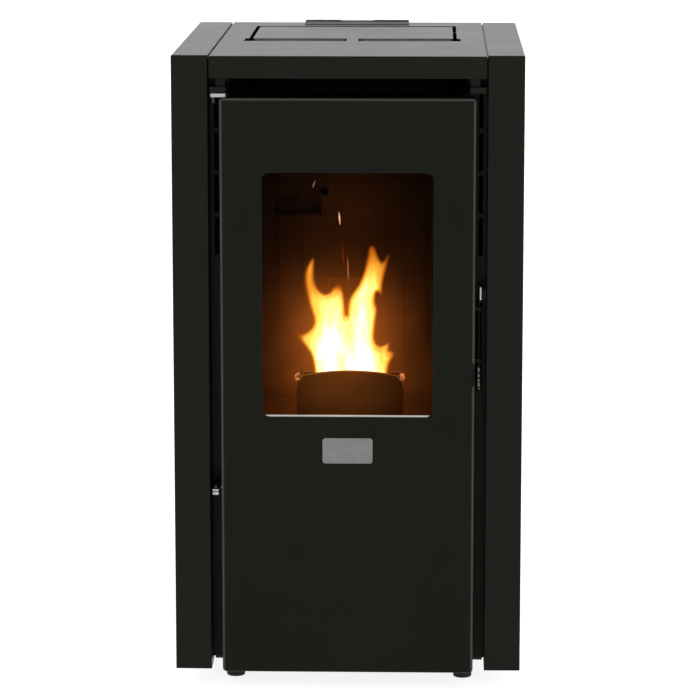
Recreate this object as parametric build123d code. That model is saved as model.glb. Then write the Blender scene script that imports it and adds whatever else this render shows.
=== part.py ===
from build123d import *
import math
import os

# Pellet stove. Millimetres, X to the right of someone facing the door, Y to the back, Z up from the floor.
# While the pieces are made, Y is counted from the front plane of the side casings.

# ---- casing ----
case_width = 460.0          # over both side casings
case_height = 850.0         # floor to the casing tops
case_depth = 540.0          # casing fronts to casing backs
case_lift = 28.0            # floor to the casings' lower edges
case_sheet = 2.0
case_round = 2.0            # outside radius of the folds
fascia_width = 48.0         # front face of one side casing
fascia_depth = 46.0         # casing fronts to the front of the body
back_fold = 16.0            # rear fold of a side casing

# ---- top cover ----
cover_joint = 1.5           # dark joint between the cover and a side casing
joint_strip_gap = 0.2       # strip that closes the joint from below, to the cover's side
cover_sink = 1.0            # the cover lies this much below the casing tops
cover_overhang = 14.0       # the cover runs this far behind the casings
apron_height = 29.0         # front fold of the cover
scoop_web = 16.0            # bridge between the two finger scoops
scoop_length = 140.0
scoop_reach = 40.0          # front to back length of a scoop's sloping floor
scoop_drop = 9.0

# ---- hopper lid ----
lid_side = 92.0             # casing side to the lid's side
lid_depth = 202.0
lid_web = 33.0              # cover between the lid and the control panel
lid_fold = 16.0
hole_fold = 14.0            # cover's fold behind the lid
lid_side_gap = 5.0
lid_front_gap = 1.0
lid_back_gap = 11.0         # room for the lid's rear edge as it swings
lid_pin_radius = 3.0
lid_pin_inset = 8.0         # lid's rear edge to its hinge axis
lid_pin_depth = 10.0        # lid's top to its hinge axis
lid_ear = 3.0               # thickness of the cover's hinge ears
ear_reach = 10.0            # hinge axis to the ears' edges
lid_seal_width = 10.0
lid_seal_lap = 3.0          # seal beyond the hopper's walls
lid_seal_gap = 0.3          # seal to the hopper's rim
grip_strip = 2.4            # thickness of the soft finger strips on the lid's front
grip_strip_height = 7.0
grip_strip_end = 3.0        # scoop's end to the strip's end

# ---- control panel ----
panel_width = 150.0
panel_depth = 46.0
panel_inset = 34.0          # panel's front edge to the casing backs
panel_rise = 4.0
panel_lip = 1.5             # height of the panel's front edge
panel_slope = 18.0          # front to back length of its sloping face
panel_wall = 2.5
panel_drop = 22.0           # box of the panel below the cover
display_width = 140.0
display_depth = 20.0
display_thickness = 2.0
display_back = 3.0          # panel's rear edge to the glass
screen_width = 46.0
screen_depth = 13.0
button_count = 4
button_width = 13.0
button_depth = 8.0
button_pitch = 20.0
button_inner = 36.0         # middle of the panel to the nearest button
button_travel = 0.8
button_proud = 0.8
button_play = 0.15          # gap round a button
button_flange = 1.5         # thickness of the rim that keeps a button in
button_rim = 1.0
button_stem = 4.0

# ---- door ----
door_side_gap = 15.0        # casing return to the door's edge, each side
door_low = 26.0             # floor to the door's lower edge
air_slot = 25.0             # hot air slot between the apron and the door
door_proud = 8.0            # the door stands this far ahead of the casings
door_fold = 20.0            # depth of the door panel's folded edges
door_sheet = 2.0
door_corner = 5.0
door_round = 3.0
window_width = 224.0
window_drop = 97.0          # door's top to the window's top
window_height = 324.0
window_corner = 10.0
dish_middle = 431.0         # floor to the middle of the finger dish beside the latch grip
dish_radius = 16.0          # of the dish's rim, which is centred on the door's edge
dish_depth = 8.0
plate_width = 66.0          # bare name plate
plate_height = 34.0
plate_low = 312.0
plate_thickness = 1.5
plate_corner = 4.0

# ---- glass and inner door frame ----
gasket_thickness = 2.0
gasket_width = 10.0
glass_thickness = 4.0
glass_lap = 14.0            # glass beyond the window's edge, each side
trim_height = 6.5           # bright strip along the window's lower edge
trim_inset = 2.0
frame_lap = 6.0             # opening of the inner frame beyond the window's edge
frame_inset = 9.0           # inner frame inside the door's edges
frame_low = 275.0
frame_top_gap = 5.0         # inner frame's top below the door's top
frame_sheet = 3.0
frame_flange = 16.0         # rear flange that carries the rope seal
spacer_radius = 6.0
rope_width = 10.0
rope_inset = 4.0
rope_gap = 0.3              # rope seal to the body at rest
rope_thickness = 7.7

# ---- hinge ----
hinge_reach = 7.5           # door's left edge to the hinge axis
hinge_back = 1.0            # casing fronts to the hinge axis
pin_radius = 2.5
pin_play = 0.05             # running fit of the hinge pins
lug_radius = 5.5
lug_rise = 1.0              # door's top to the upper lug
lug_thickness = 4.5
lug_gap = 0.3               # lower lug to its washer
bracket_gap = 1.0           # upper lug to the bracket above it
lug_clear = 5.0             # lower lug to the rope seal
lug_reach = 12.0            # door's rear folds to the back of the upper lug
lug_shank = 26.0            # length of its shank down the side of the inner frame
lug_shank_thickness = 6.0
upper_bracket = 7.5         # thickness of the upper bracket plates
upper_bracket_width = 22.0
tab_width = 12.0
tab_height = 26.0
lower_bracket = 3.8
lower_bracket_low = 267.5   # floor to the lower hinge bracket
washer_thickness = 1.0
washer_radius = 5.0
pin_tail = 9.0              # pin beyond the lug

# ---- latch ----
latch_reach = 5.5           # door's right edge to the latch rod's axis
latch_back = 19.0           # casing fronts to the latch rod's axis
latch_radius = 2.5
latch_low = 439.0           # top of the grip
latch_high = 524.0          # foot of the tongue
latch_guide_thickness = 4.0
latch_guide_inset = 6.0
latch_play = 0.05
grip_radius = 3.8
grip_length = 32.0
grip_flutes = 12
tongue_width = 4.0
tongue_offset = 1.6         # rod's axis to the tongue's middle
tongue_length = 6.0
tongue_height = 22.0
keeper_height = 15.0
keeper_arm = 1.7
keeper_arm_gap = 0.3        # keeper's arm to the casing
keeper_lip = 5.2
keeper_lip_thickness = 2.7
keeper_play = 0.6           # turned tongue to the keeper's lip
keeper_foot = 14.0

# ---- body front and chassis ----
body_sheet = 2.0
body_fold = 20.0
base_sheet = 3.0
base_low = 30.0
base_inset = 2.0
base_fold = 20.0
mouth_inset = 15.0          # firebox mouth inside the firebox walls
mouth_low = 300.0
mouth_drop = 13.0           # firebox top to the top of its mouth
outlet_inset = 9.0          # hot air outlet inside the door's edges
outlet_rise = 13.0          # firebox top to the hot air outlet
slot_count = 4
slot_length = 50.0
slot_width = 5.5
slot_pitch = 56.0
slot_rise = 5.0             # door's top to the top of the upper slots
slot_offset = 7.2           # door's edge to the middle of the slots beside it

# ---- feet ----
foot_radius = 12.5
foot_height = 9.0
foot_round = 2.0
foot_inset_x = 76.0         # casing side to a foot's axis
foot_front = 72.0           # casing fronts to the front feet
foot_inset_y = 62.0         # casing backs to the rear feet
stud_radius = 4.0
stud_play = 0.1
stud_top = 42.0
nut_radius = 7.5
nut_height = 6.0

# ---- firebox ----
fire_inset = 17.0           # firebox inside the door's edges
fire_low = 288.0
fire_drop = 20.0            # door's top to the firebox top
chute_room = 25.0           # firebox back to the auger's mouth
fire_sheet = 3.0
liner_thickness = 8.0
liner_front = 12.0          # body front to the liners' front edge
fire_back_thickness = 10.0
rib_count = 9
rib_depth = 4.0
rib_width = 8.0
baffle_drop = 53.0          # firebox top to the baffle's rear edge
baffle_rise = 24.0
baffle_sheet = 4.0
baffle_gap = 90.0           # firebox front to the baffle's front edge
stand_sheet = 3.0
stand_inset = 20.0

# ---- hearth, burn pot and ash drawer ----
hearth_top = 350.0
hearth_sheet = 4.0
hearth_front = 14.0
pot_half = 72.0             # half the width of the burn pot
pot_inset = 60.0            # firebox back to the burn pot's rear
pot_depth = 90.0
pot_wall = 5.0
pot_floor = 6.0
pot_height = 46.0
pot_seat = 14.0             # the seat's skirt lies this far inside the pot's walls
pot_skirt = 6.0
pot_play = 0.5
arch_thickness = 6.0
arch_rise = 8.0             # middle of the arched front above its ends
arch_over = 10.0            # ends of the arched front above the pot's rim
arch_lug_radius = 4.5
grate_hole = 3.0
grate_columns = 7
grate_rows = 4
grate_pitch = 15.0
ember_height = 30.0
ember_inset = 1.0
drawer_inset = 25.0         # ash drawer inside the firebox mouth
drawer_front = 62.0
drawer_end_gap = 16.0       # drawer's rear to the firebox's inner back
drawer_height = 40.0
drawer_sheet = 2.0
drawer_lift = 12.0          # firebox floor to the drawer's floor
drawer_runner = 10.0
handle_width = 90.0
handle_reach = 9.0
handle_bar = 5.0
igniter_radius = 7.0
igniter_height = 372.0
igniter_tail = 40.0
igniter_gap = 0.5

# ---- pellet feed ----
neck_reach = 102.0          # auger's upper mouth to the hopper's neck
auger_z = 560.0             # middle of the auger tube's upper mouth
auger_length = 212.0
auger_radius = 30.0
auger_wall = 2.0
screw_play = 2.0
screw_pitch = 36.0
screw_blade = 2.5
screw_shaft = 8.0
shaft_play = 0.05
chute_width = 60.0
chute_height = 50.0
chute_up = 34.0             # auger axis to the chute's closed upper end
chute_down = 95.0           # auger axis to the chute's mouth
chute_sheet = 2.0
chute_flange = 12.0
feed_from = 120.0           # auger mouth to the inlet's near edge
feed_length = 70.0
hopper_sheet = 2.0
hopper_inset = 6.0          # hopper inside the lid, each side
hopper_setback = 5.0        # lid's front edge to the hopper
hopper_depth = 174.0
hopper_drop = 11.0          # cover to the hopper's rim
hopper_box = 138.0          # upright part of the hopper
hopper_neck_top = 512.0
neck_half = 27.0
neck_offset = 116.0         # hopper's front to its neck
neck_depth = 50.0
neck_play = 0.05
rim_flange = 12.0
rim_flange_drop = 14.0      # hopper rim to its stiffening flange
gearbox_size = 62.0
gearbox_length = 34.0
motor_radius = 24.0
motor_length = 46.0

# ---- smoke path ----
smoke_x = -70.0             # smoke fan axis
smoke_z = 175.0
volute_radius = 74.0
volute_room = 63.0          # firebox back to the smoke fan's housing
volute_depth = 60.0
volute_sheet = 2.0
volute_mouth = 30.0
outlet_height = 64.0        # height of the housing's side outlet
outlet_lap = 10.0           # flue pipe to the end of the side outlet
impeller_radius = 62.0
impeller_disc = 2.0
impeller_gap = 5.0
impeller_depth = 40.0
impeller_blades = 10
impeller_blade = 2.0
impeller_hub = 14.0
smoke_shaft = 5.0
smoke_shaft_reach = 20.0    # shaft inside the smoke motor
smoke_motor_radius = 38.0
smoke_motor_length = 58.0
flue_x = 45.0
flue_z = 133.0
flue_radius = 40.0
flue_wall = 1.5
flue_stub = 36.0            # flue pipe behind the casings
channel_width = 88.0
channel_depth = 26.0
channel_drop = 125.0        # firebox top to the top of the smoke channel
channel_low = 118.0
channel_sheet = 2.0
smoke_window = 40.0         # height of the smoke opening in the firebox
intake_x = 104.0
intake_z = 318.0
intake_radius = 25.0
intake_wall = 1.5
intake_stub = 24.0
pipe_swage = 1.0            # pipes inside the stove are this much larger in radius than their stubs
collar_width = 9.0

# ---- room air ----
rotor_y = 150.0
rotor_z = 172.0
rotor_radius = 34.0
rotor_inset = 52.0          # rotor's ends inside the firebox walls
rotor_blades = 20
rotor_blade = 1.5
rotor_blade_depth = 7.0
rotor_disc = 2.0
rotor_play = 4.0
rotor_shaft = 4.0
scroll_sheet = 2.0
scroll_end_gap = 3.0
scroll_mouth = 46.0
room_motor_radius = 30.0
room_motor_length = 36.0
duct_sheet = 2.0
duct_drop = 23.0            # cover to the hot air duct
duct_flange = 20.0

# ---- rear ----
louvre_count = 9
louvre_length = 150.0
louvre_width = 6.0
louvre_pitch = 16.0
louvre_drop = 155.0         # door's top to the lowest louvre
inlet_inset = 62.0          # casing side to the mains inlet
inlet_z = 92.0
inlet_width = 48.0
inlet_height = 30.0
inlet_rim = 3.0
inlet_body = 24.0
socket_width = 24.0
socket_height = 17.0
socket_depth = 18.0
socket_pin_length = 13.0
socket_pin_width = 4.0
socket_pin_thickness = 2.0
socket_pin_pitch = 7.0
socket_pin_drop = 2.0
switch_z = 136.0
switch_width = 22.0
switch_height = 30.0
switch_depth = 20.0
rocker_width = 14.0
rocker_radius = 9.5
rocker_tilt = 9.0           # degrees that each half of the rocker falls away
rocker_play = 0.3
rocker_setback = 3.0        # rocker axis inside the panel's face
rocker_proud = 0.5          # middle of the rocker beyond the frame's face
rocker_pin = 1.5
cap_radius = 9.0
cap_height = 10.0
cap_inset = 80.0
cap_z = 190.0
cap_pitch = 34.0
box_width = 66.0
box_height = 150.0
box_depth = 34.0
box_inset = 90.0
box_low = 420.0
screw_radius = 4.0
screw_head = 2.4
screw_slot = 1.0
screw_rows = 5

# ---- places that follow from the sizes above ----
half_width = case_width / 2
inner_half = half_width - fascia_width
cover_half = inner_half - cover_joint
cover_top = case_height - cover_sink
cover_under = cover_top - case_sheet
cover_back = case_depth + cover_overhang
apron_low = cover_top - apron_height
lid_half = half_width - lid_side
panel_front = case_depth - panel_inset
lid_back = panel_front - lid_web
lid_front = lid_back - lid_depth
hole_half = lid_half + lid_side_gap
lid_axis_y = lid_back - lid_pin_inset
lid_axis_z = cover_top - lid_pin_depth
panel_half = panel_width / 2
panel_back = panel_front + panel_depth
panel_top = cover_top + panel_rise
glass_y = panel_back - display_back - display_depth / 2
door_half = inner_half - door_side_gap
door_top = apron_low - air_slot
door_front = -door_proud
door_inner = door_front + door_sheet
door_rear = door_front + door_fold
window_half = window_width / 2
window_high = door_top - window_drop
window_low = window_high - window_height
glass_front = door_inner + gasket_thickness
glass_back = glass_front + glass_thickness
frame_half = door_half - frame_inset
frame_top = door_top - frame_top_gap
rope_back = fascia_depth - rope_gap
rope_front = rope_back - rope_thickness
hinge_x = -door_half - hinge_reach
lug_low = door_top + lug_rise
lug_top = lug_low + lug_thickness
bracket_low = lug_top + bracket_gap
bracket_top = bracket_low + upper_bracket
lower_bracket_top = lower_bracket_low + lower_bracket
washer_top = lower_bracket_top + washer_thickness
lower_lug_low = washer_top + lug_gap
latch_x = door_half + latch_reach
tongue_top = latch_high + tongue_height
body_front = fascia_depth
body_inner = body_front + body_sheet
base_top = base_low + base_sheet
rear_out = case_depth - case_sheet
rear_in = rear_out - body_sheet
rocker_y = rear_out + inlet_rim - rocker_setback
fire_half = door_half - fire_inset
fire_high = door_top - fire_drop
hopper_front = lid_front + hopper_setback
neck_front = hopper_front + neck_offset
auger_y = neck_front - neck_reach
fire_rear = auger_y - chute_room
fire_inner_half = fire_half - fire_sheet
fire_inner_rear = fire_rear - fire_sheet
mouth_half = fire_half - mouth_inset
mouth_high = fire_high - mouth_drop
outlet_half = door_half - outlet_inset
outlet_low = fire_high + outlet_rise
slot_top = door_top + slot_rise
slot_centre = door_half + slot_offset
baffle_low = fire_high - baffle_drop
pot_low = hearth_top
pot_rim = pot_low + pot_height
pot_rear = fire_rear - pot_inset
pot_front = pot_rear - pot_depth
drawer_low = fire_low + fire_sheet + drawer_lift
drawer_back = fire_inner_rear - drawer_end_gap
drawer_half = mouth_half - drawer_inset
hopper_half = lid_half - hopper_inset
hopper_rim = cover_top - hopper_drop
hopper_waist = hopper_rim - hopper_box
channel_top = fire_high - channel_drop
duct_top = cover_top - duct_drop
rotor_half = fire_half - rotor_inset
louvre_low = door_top - louvre_drop
inlet_x = inlet_inset - half_width
cap_x = cap_inset - half_width
box_x = half_width - box_inset
foot_rear = case_depth - foot_inset_y
volute_front = fire_rear + volute_room
volute_back = volute_front + volute_depth
outlet_end = flue_x + flue_radius + outlet_lap
flue_end = case_depth + flue_stub
front_most = door_front - plate_thickness
y_middle = (front_most + flue_end) / 2


def block(x0, x1, y0, y1, z0, z1):
    return Pos((x0 + x1) / 2, (y0 + y1) / 2, (z0 + z1) / 2) * Box(x1 - x0, y1 - y0, z1 - z0)


def rod(axis, start, end, a, b, radius):
    """Cylinder from start to end along X, Y or Z; a and b are its other two coordinates in X, Y, Z order."""
    middle = (start + end) / 2
    length = end - start
    if axis == "x":
        return Pos(middle, a, b) * Rot(0, 90, 0) * Cylinder(radius, length)
    if axis == "y":
        return Pos(a, middle, b) * Rot(90, 0, 0) * Cylinder(radius, length)
    return Pos(a, b, middle) * Cylinder(radius, length)


def slab_yz(points, x0, x1):
    """Prism whose outline is given by (y, z) points, from x0 to x1."""
    outline = make_face(Polyline(*[(x0, y, z) for y, z in points], close=True))
    return extrude(outline, amount=x1 - x0, dir=(1, 0, 0))


def window_ring(half_x, low, high, width, y0, y1):
    """Upright rectangular ring with a strip of the given width."""
    outside = block(-half_x, half_x, y0, y1, low, high)
    inside = block(-half_x + width, half_x - width, y0 - 1, y1 + 1, low + width, high - width)
    return outside - inside


def along(solid, axis):
    return solid.edges().filter_by(axis)


def mirrored(solid):
    return mirror(solid, about=Plane.YZ)


# ---- casing ----
def side_casing():
    x0 = -half_width
    x1 = -inner_half
    shell = block(x0, x1, 0, case_depth, case_lift, case_height)
    front = along(shell, Axis.Z).group_by(Axis.Y)[0]
    outer_top = along(shell, Axis.Y).group_by(Axis.Z)[-1].sort_by(Axis.X)[0]
    front_top = along(shell, Axis.X).group_by(Axis.Y)[0].sort_by(Axis.Z)[-1]
    shell = fillet([*front, outer_top, front_top], case_round)
    s = case_sheet
    shell -= block(x0 + s, x1 - s, s, case_depth - s, case_lift - 1, case_height - s)
    shell -= block(x1 - 1.5 * s, x1 + s, fascia_depth, case_depth + s, case_lift - 1, case_height - s)
    shell -= block(x0 + back_fold, x1 + s, case_depth - 2 * s, case_depth + s, case_lift - 1, case_height - s)
    shell += block(x1 - s, x1, 2 * s, case_depth - s, cover_under - s, case_height - s / 2)
    strip_end = x1 + cover_joint - joint_strip_gap
    return shell + block(x1 - s, strip_end, 2 * s, case_depth - s, cover_under - s, cover_under)


def scoop_wedge(low_shift, x0, x1, rise):
    """Sloping prism of a finger scoop, moved down by low_shift and closed rise above the cover."""
    front = lid_front - lid_front_gap - scoop_reach
    rear = lid_front - lid_front_gap
    top = cover_top - low_shift
    above = cover_top + rise
    return slab_yz([(front, above), (front, top), (rear, top - scoop_drop), (rear, above)], x0, x1)


def top_cover():
    shell = block(-cover_half, cover_half, 0, cover_back, apron_low, cover_top)
    ends = along(shell, Axis.X).group_by(Axis.Z)[-1]
    sides = along(shell, Axis.Y).group_by(Axis.Z)[-1]
    shell = fillet([*ends, *sides], case_round / 2)
    s = case_sheet
    shell -= block(-cover_half + s, cover_half - s, s, cover_back - s, apron_low - 1, cover_under)
    for side in (-1, 1):
        near = side * scoop_web / 2
        far = side * (scoop_web / 2 + scoop_length)
        x0 = min(near, far)
        x1 = max(near, far)
        shell += scoop_wedge(s, x0 - s, x1 + s, -s / 2)
        shell -= scoop_wedge(0, x0, x1, s)
    hole_front = lid_front - lid_front_gap
    hole_back = lid_back + lid_back_gap
    shell -= block(-hole_half, hole_half, hole_front, hole_back, apron_low, cover_top + s)
    shell += block(-hole_half, hole_half, hole_back, hole_back + s, cover_under - hole_fold, cover_under)
    w = panel_half - panel_wall
    shell -= block(-w, w, panel_front + panel_wall, panel_back - panel_wall, apron_low, cover_top + s)
    for side in (-1, 1):
        inner = side * (hole_half + 1)
        outer = inner + side * lid_ear
        x0 = min(inner, outer)
        x1 = max(inner, outer)
        ear = block(x0, x1, lid_axis_y - ear_reach, lid_axis_y + ear_reach, lid_axis_z - ear_reach, cover_under)
        shell += ear - rod("x", x0 - 1, x1 + 1, lid_axis_y, lid_axis_z, lid_pin_radius)
    return shell


def hopper_lid():
    shell = block(-lid_half, lid_half, lid_front, lid_back, cover_top - lid_fold, cover_top)
    shell = fillet(shell.faces().sort_by(Axis.Z)[-1].edges(), case_round / 2)
    s = case_sheet
    shell -= block(-lid_half + s, lid_half - s, lid_front + s, lid_back - s, cover_top - lid_fold - 1, cover_under)
    return shell - rod("x", -lid_half - 1, lid_half + 1, lid_axis_y, lid_axis_z, lid_pin_radius + pin_play)


def lid_hinge_pins():
    outer = hole_half + 1 + lid_ear
    inner = lid_half - case_sheet - 1
    return Compound([rod("x", -outer, -inner, lid_axis_y, lid_axis_z, lid_pin_radius),
                     rod("x", inner, outer, lid_axis_y, lid_axis_z, lid_pin_radius)])


def seal_area(lap, z0, z1):
    x = hopper_half + lap
    return block(-x, x, hopper_front - lap, hopper_front + hopper_depth + lap, z0, z1)


def lid_seal():
    low = hopper_rim + lid_seal_gap
    ring = seal_area(lid_seal_lap, low, cover_under)
    ring -= seal_area(lid_seal_lap - lid_seal_width, low - 1, cover_under + 1)
    return Compound([ring, finger_strip(-1), finger_strip(1)])


def finger_strip(side):
    near = side * (scoop_web / 2 + grip_strip_end)
    far = side * (lid_half - grip_strip_end)
    top = cover_top - case_round / 2
    return block(min(near, far), max(near, far), lid_front - grip_strip, lid_front, top - grip_strip_height, top)


# ---- control panel ----
def control_bezel():
    points = [(panel_front, cover_top), (panel_front, cover_top + panel_lip),
              (panel_front + panel_slope, panel_top), (panel_back, panel_top), (panel_back, cover_top)]
    shell = slab_yz(points, -panel_half, panel_half)
    w = panel_wall
    low = cover_top - panel_drop
    shell += block(-panel_half + w, panel_half - w, panel_front + w, panel_back - w, low, cover_top)
    shell -= block(-panel_half + 2 * w, panel_half - 2 * w, panel_front + 2 * w, panel_back - 2 * w, low - 1,
                   cover_top - w / 2)
    shell -= glass_area(0, panel_top - display_thickness, panel_top + 1)
    shell -= block(-display_width / 2 + w, display_width / 2 - w, glass_y - display_depth / 2 + w,
                   glass_y + display_depth / 2 - w, cover_top - w, panel_top)
    return shell


def glass_area(grow, z0, z1):
    x = display_width / 2 + grow
    y = display_depth / 2 + grow
    return block(-x, x, glass_y - y, glass_y + y, z0, z1)


def button_places():
    places = []
    for index in range(button_count):
        side = -1 if index < button_count / 2 else 1
        step = index % 2
        places.append(side * (button_inner + step * button_pitch))
    return places


def control_glass():
    glass = glass_area(0, panel_top - display_thickness, panel_top)
    for x in button_places():
        w = button_width / 2 + button_play
        d = button_depth / 2 + button_play
        glass -= block(x - w, x + w, glass_y - d, glass_y + d, panel_top - display_thickness - 1, panel_top + 1)
    w = screen_width / 2
    d = screen_depth / 2
    return glass - block(-w, w, glass_y - d, glass_y + d, panel_top - display_thickness - 1, panel_top + 1)


def display_screen():
    w = screen_width / 2
    d = screen_depth / 2
    return block(-w, w, glass_y - d, glass_y + d, panel_top - display_thickness, panel_top)


def push_button(x):
    w = button_width / 2
    d = button_depth / 2
    cap_low = panel_top - display_thickness - button_flange
    cap = block(x - w, x + w, glass_y - d, glass_y + d, cap_low, panel_top + button_proud)
    cap = fillet(cap.faces().sort_by(Axis.Z)[-1].edges(), button_proud / 2)
    f = button_rim
    flange_top = panel_top - display_thickness - button_play
    flange = block(x - w - f, x + w + f, glass_y - d - f, glass_y + d + f, cap_low, flange_top)
    stem_low = cover_top - panel_drop / 2 + button_travel + 2 * button_play
    s = button_stem / 2
    return cap + flange + block(x - s, x + s, glass_y - s, glass_y + s, stem_low, cap_low)


# ---- door ----
def door_panel():
    shell = block(-door_half, door_half, door_front, door_rear, door_low, door_top)
    shell = fillet(along(shell, Axis.Y), door_corner)
    shell = fillet(shell.faces().sort_by(Axis.Y)[0].edges(), door_round)
    s = door_sheet
    inside = block(-door_half + s, door_half - s, door_inner, door_rear + 1, door_low + s, door_top - s)
    shell -= fillet(along(inside, Axis.Y), door_corner - s)
    window = block(-window_half, window_half, door_front - 1, door_inner + 1, window_low, window_high)
    shell -= fillet(along(window, Axis.Y), window_corner)
    return dished(shell)


def dished(shell):
    """Door panel with half a round dish pressed into its right edge, for a finger on the latch grip."""
    ball = (dish_radius ** 2 + dish_depth ** 2) / (2 * dish_depth)
    middle = Pos(door_half, door_front + dish_depth - ball, dish_middle)
    wall = middle * Sphere(ball + door_sheet)
    wall &= block(door_half - 2 * dish_radius, door_half, door_inner, door_rear,
                  dish_middle - 2 * dish_radius, dish_middle + 2 * dish_radius)
    return shell + wall - middle * Sphere(ball)


def name_plate():
    plate = block(-plate_width / 2, plate_width / 2, front_most, door_front, plate_low, plate_low + plate_height)
    plate = fillet(along(plate, Axis.Y), plate_corner)
    rim = plate_thickness
    field = block(-plate_width / 2 + rim, plate_width / 2 - rim, front_most - 1, front_most + plate_thickness / 4,
                  plate_low + rim, plate_low + plate_height - rim)
    return plate - fillet(along(field, Axis.Y), plate_corner - rim)


def door_glass():
    half = window_half + glass_lap
    return block(-half, half, glass_front, glass_back, window_low - glass_lap, window_high + glass_lap)


def glass_gasket():
    half = window_half + glass_lap
    low = window_low - glass_lap
    return window_ring(half, low, window_high + glass_lap, gasket_width, door_inner, glass_front)


def glass_trim():
    half = window_half - trim_inset
    return block(-half, half, door_inner, glass_front, window_low - glass_lap + gasket_width,
                 window_low - glass_lap + gasket_width + trim_height)


def door_frame():
    front = glass_back
    opening = frame_half - window_half - frame_lap
    opening_low = window_low - frame_lap
    opening_high = window_high + frame_lap
    plate = block(-frame_half, frame_half, front, front + frame_sheet, frame_low, frame_top)
    plate -= block(-frame_half + opening, frame_half - opening, front - 1, front + frame_sheet + 1,
                   opening_low, opening_high)
    walls = window_ring(frame_half, frame_low, frame_top, frame_sheet, front + frame_sheet, rope_front)
    flange = window_ring(frame_half, frame_low, frame_top, frame_flange, rope_front - frame_sheet, rope_front)
    frame = plate + walls + flange
    x = frame_half - 2 * spacer_radius
    for z in (frame_low + 2 * spacer_radius, (window_low + window_high) / 2, frame_top - 2 * spacer_radius):
        frame += rod("y", door_inner, front, -x, z, spacer_radius)
        frame += rod("y", door_inner, front, x, z, spacer_radius)
    return frame + latch_guide(latch_low + latch_guide_inset) + latch_guide(
        latch_high - latch_guide_inset - latch_guide_thickness)


def latch_guide(low):
    high = low + latch_guide_thickness
    ear = block(frame_half, latch_x + 2 * latch_radius, door_rear + 1, latch_back + 2 * latch_radius, low, high)
    ear = fillet(along(ear, Axis.Z).group_by(Axis.X)[-1], latch_radius)
    return ear - rod("z", low - 1, high + 1, latch_x, latch_back, latch_radius + latch_play)


def rope_seal():
    half = frame_half - rope_inset
    low = frame_low + rope_inset
    high = frame_top - rope_inset
    rope = window_ring(half, low, high, rope_width, rope_front, rope_back)
    return fillet(rope.faces().sort_by(Axis.Y)[-1].edges(), rope_thickness / 3)


# ---- hinge ----
def upper_lug():
    back = door_rear + lug_reach
    plate = block(hinge_x - lug_radius + 1, -frame_half, hinge_back - lug_radius, back, lug_low, lug_top)
    plate = fillet(along(plate, Axis.Z), lug_radius - 2)
    shank = block(-frame_half - lug_shank_thickness, -frame_half, door_rear + 1, back,
                  frame_top - lug_shank, lug_top - lug_thickness / 2)
    return plate + shank - rod("z", lug_low - 1, lug_top + 1, hinge_x, hinge_back, pin_radius + pin_play)


def lower_lug():
    back = rope_front - lug_clear
    arm = block(hinge_x - lug_radius, hinge_x + lug_radius, hinge_back - lug_radius, back,
                lower_lug_low, frame_low)
    arm = fillet(along(arm, Axis.Z).group_by(Axis.Y)[0], lug_radius - 1)
    foot = block(hinge_x + lug_radius, -frame_half + 3 * lug_radius, door_rear + 1, back,
                 lower_lug_low, frame_low)
    return arm + foot - rod("z", lower_lug_low - 1, frame_low + 1, hinge_x, hinge_back, pin_radius + pin_play)


def upper_hinge_bracket(pin_hole):
    x0 = hinge_x - lug_radius
    plate = block(x0, x0 + upper_bracket_width, hinge_back - lug_radius, body_front, bracket_low, bracket_top)
    plate = fillet(along(plate, Axis.Z).group_by(Axis.Y)[0], lug_radius - 2)
    tab_x = x0 + upper_bracket_width - tab_width - 2
    tab = block(tab_x, tab_x + tab_width, hinge_back + lug_radius, hinge_back + lug_radius + frame_sheet,
                bracket_top, bracket_top + tab_height)
    bracket = plate + tab
    if pin_hole:
        bracket -= rod("z", bracket_low - 1, bracket_top + 1, hinge_x, hinge_back, pin_radius)
    return bracket


def lower_hinge_bracket():
    arm = block(hinge_x - lug_radius, hinge_x + lug_radius, hinge_back - lug_radius, body_front,
                lower_bracket_low, lower_bracket_top)
    arm = fillet(along(arm, Axis.Z).group_by(Axis.Y)[0], lug_radius - 1)
    return arm - rod("z", lower_bracket_low - 1, lower_bracket_top + 1, hinge_x, hinge_back, pin_radius)


def upper_hinge_pin():
    shaft = rod("z", lug_low - pin_tail, bracket_top, hinge_x, hinge_back, pin_radius)
    return chamfer(shaft.edges().group_by(Axis.Z)[0], pin_radius / 3)


def lower_hinge_pin():
    shaft = rod("z", lower_bracket_low, frame_low + pin_tail / 2, hinge_x, hinge_back, pin_radius)
    return chamfer(shaft.edges().group_by(Axis.Z)[-1], pin_radius / 3)


def hinge_washer():
    disc = rod("z", lower_bracket_top, washer_top, hinge_x, hinge_back, washer_radius)
    return disc - rod("z", lower_bracket_top - 1, washer_top + 1, hinge_x, hinge_back, pin_radius)


# ---- latch ----
def latch_rod():
    shaft = rod("z", latch_low, latch_high, latch_x, latch_back, latch_radius)
    middle = latch_x + tongue_offset
    tongue = block(middle - tongue_width / 2, middle + tongue_width / 2, latch_back - latch_radius,
                   latch_back + tongue_length, latch_high, tongue_top)
    tongue = fillet(along(tongue, Axis.Z), tongue_width / 5)
    return shaft + tongue


def latch_grip():
    grip = rod("z", latch_low - grip_length, latch_low, latch_x, latch_back, grip_radius)
    grip = chamfer(grip.edges().filter_by(GeomType.CIRCLE), grip_radius / 6)
    for index in range(grip_flutes):
        angle = 2 * math.pi * index / grip_flutes
        x = latch_x + (grip_radius + 0.4) * math.cos(angle)
        y = latch_back + (grip_radius + 0.4) * math.sin(angle)
        grip -= rod("z", latch_low - grip_length - 1, latch_low + 1, x, y, grip_radius / 5)
    return grip


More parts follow.
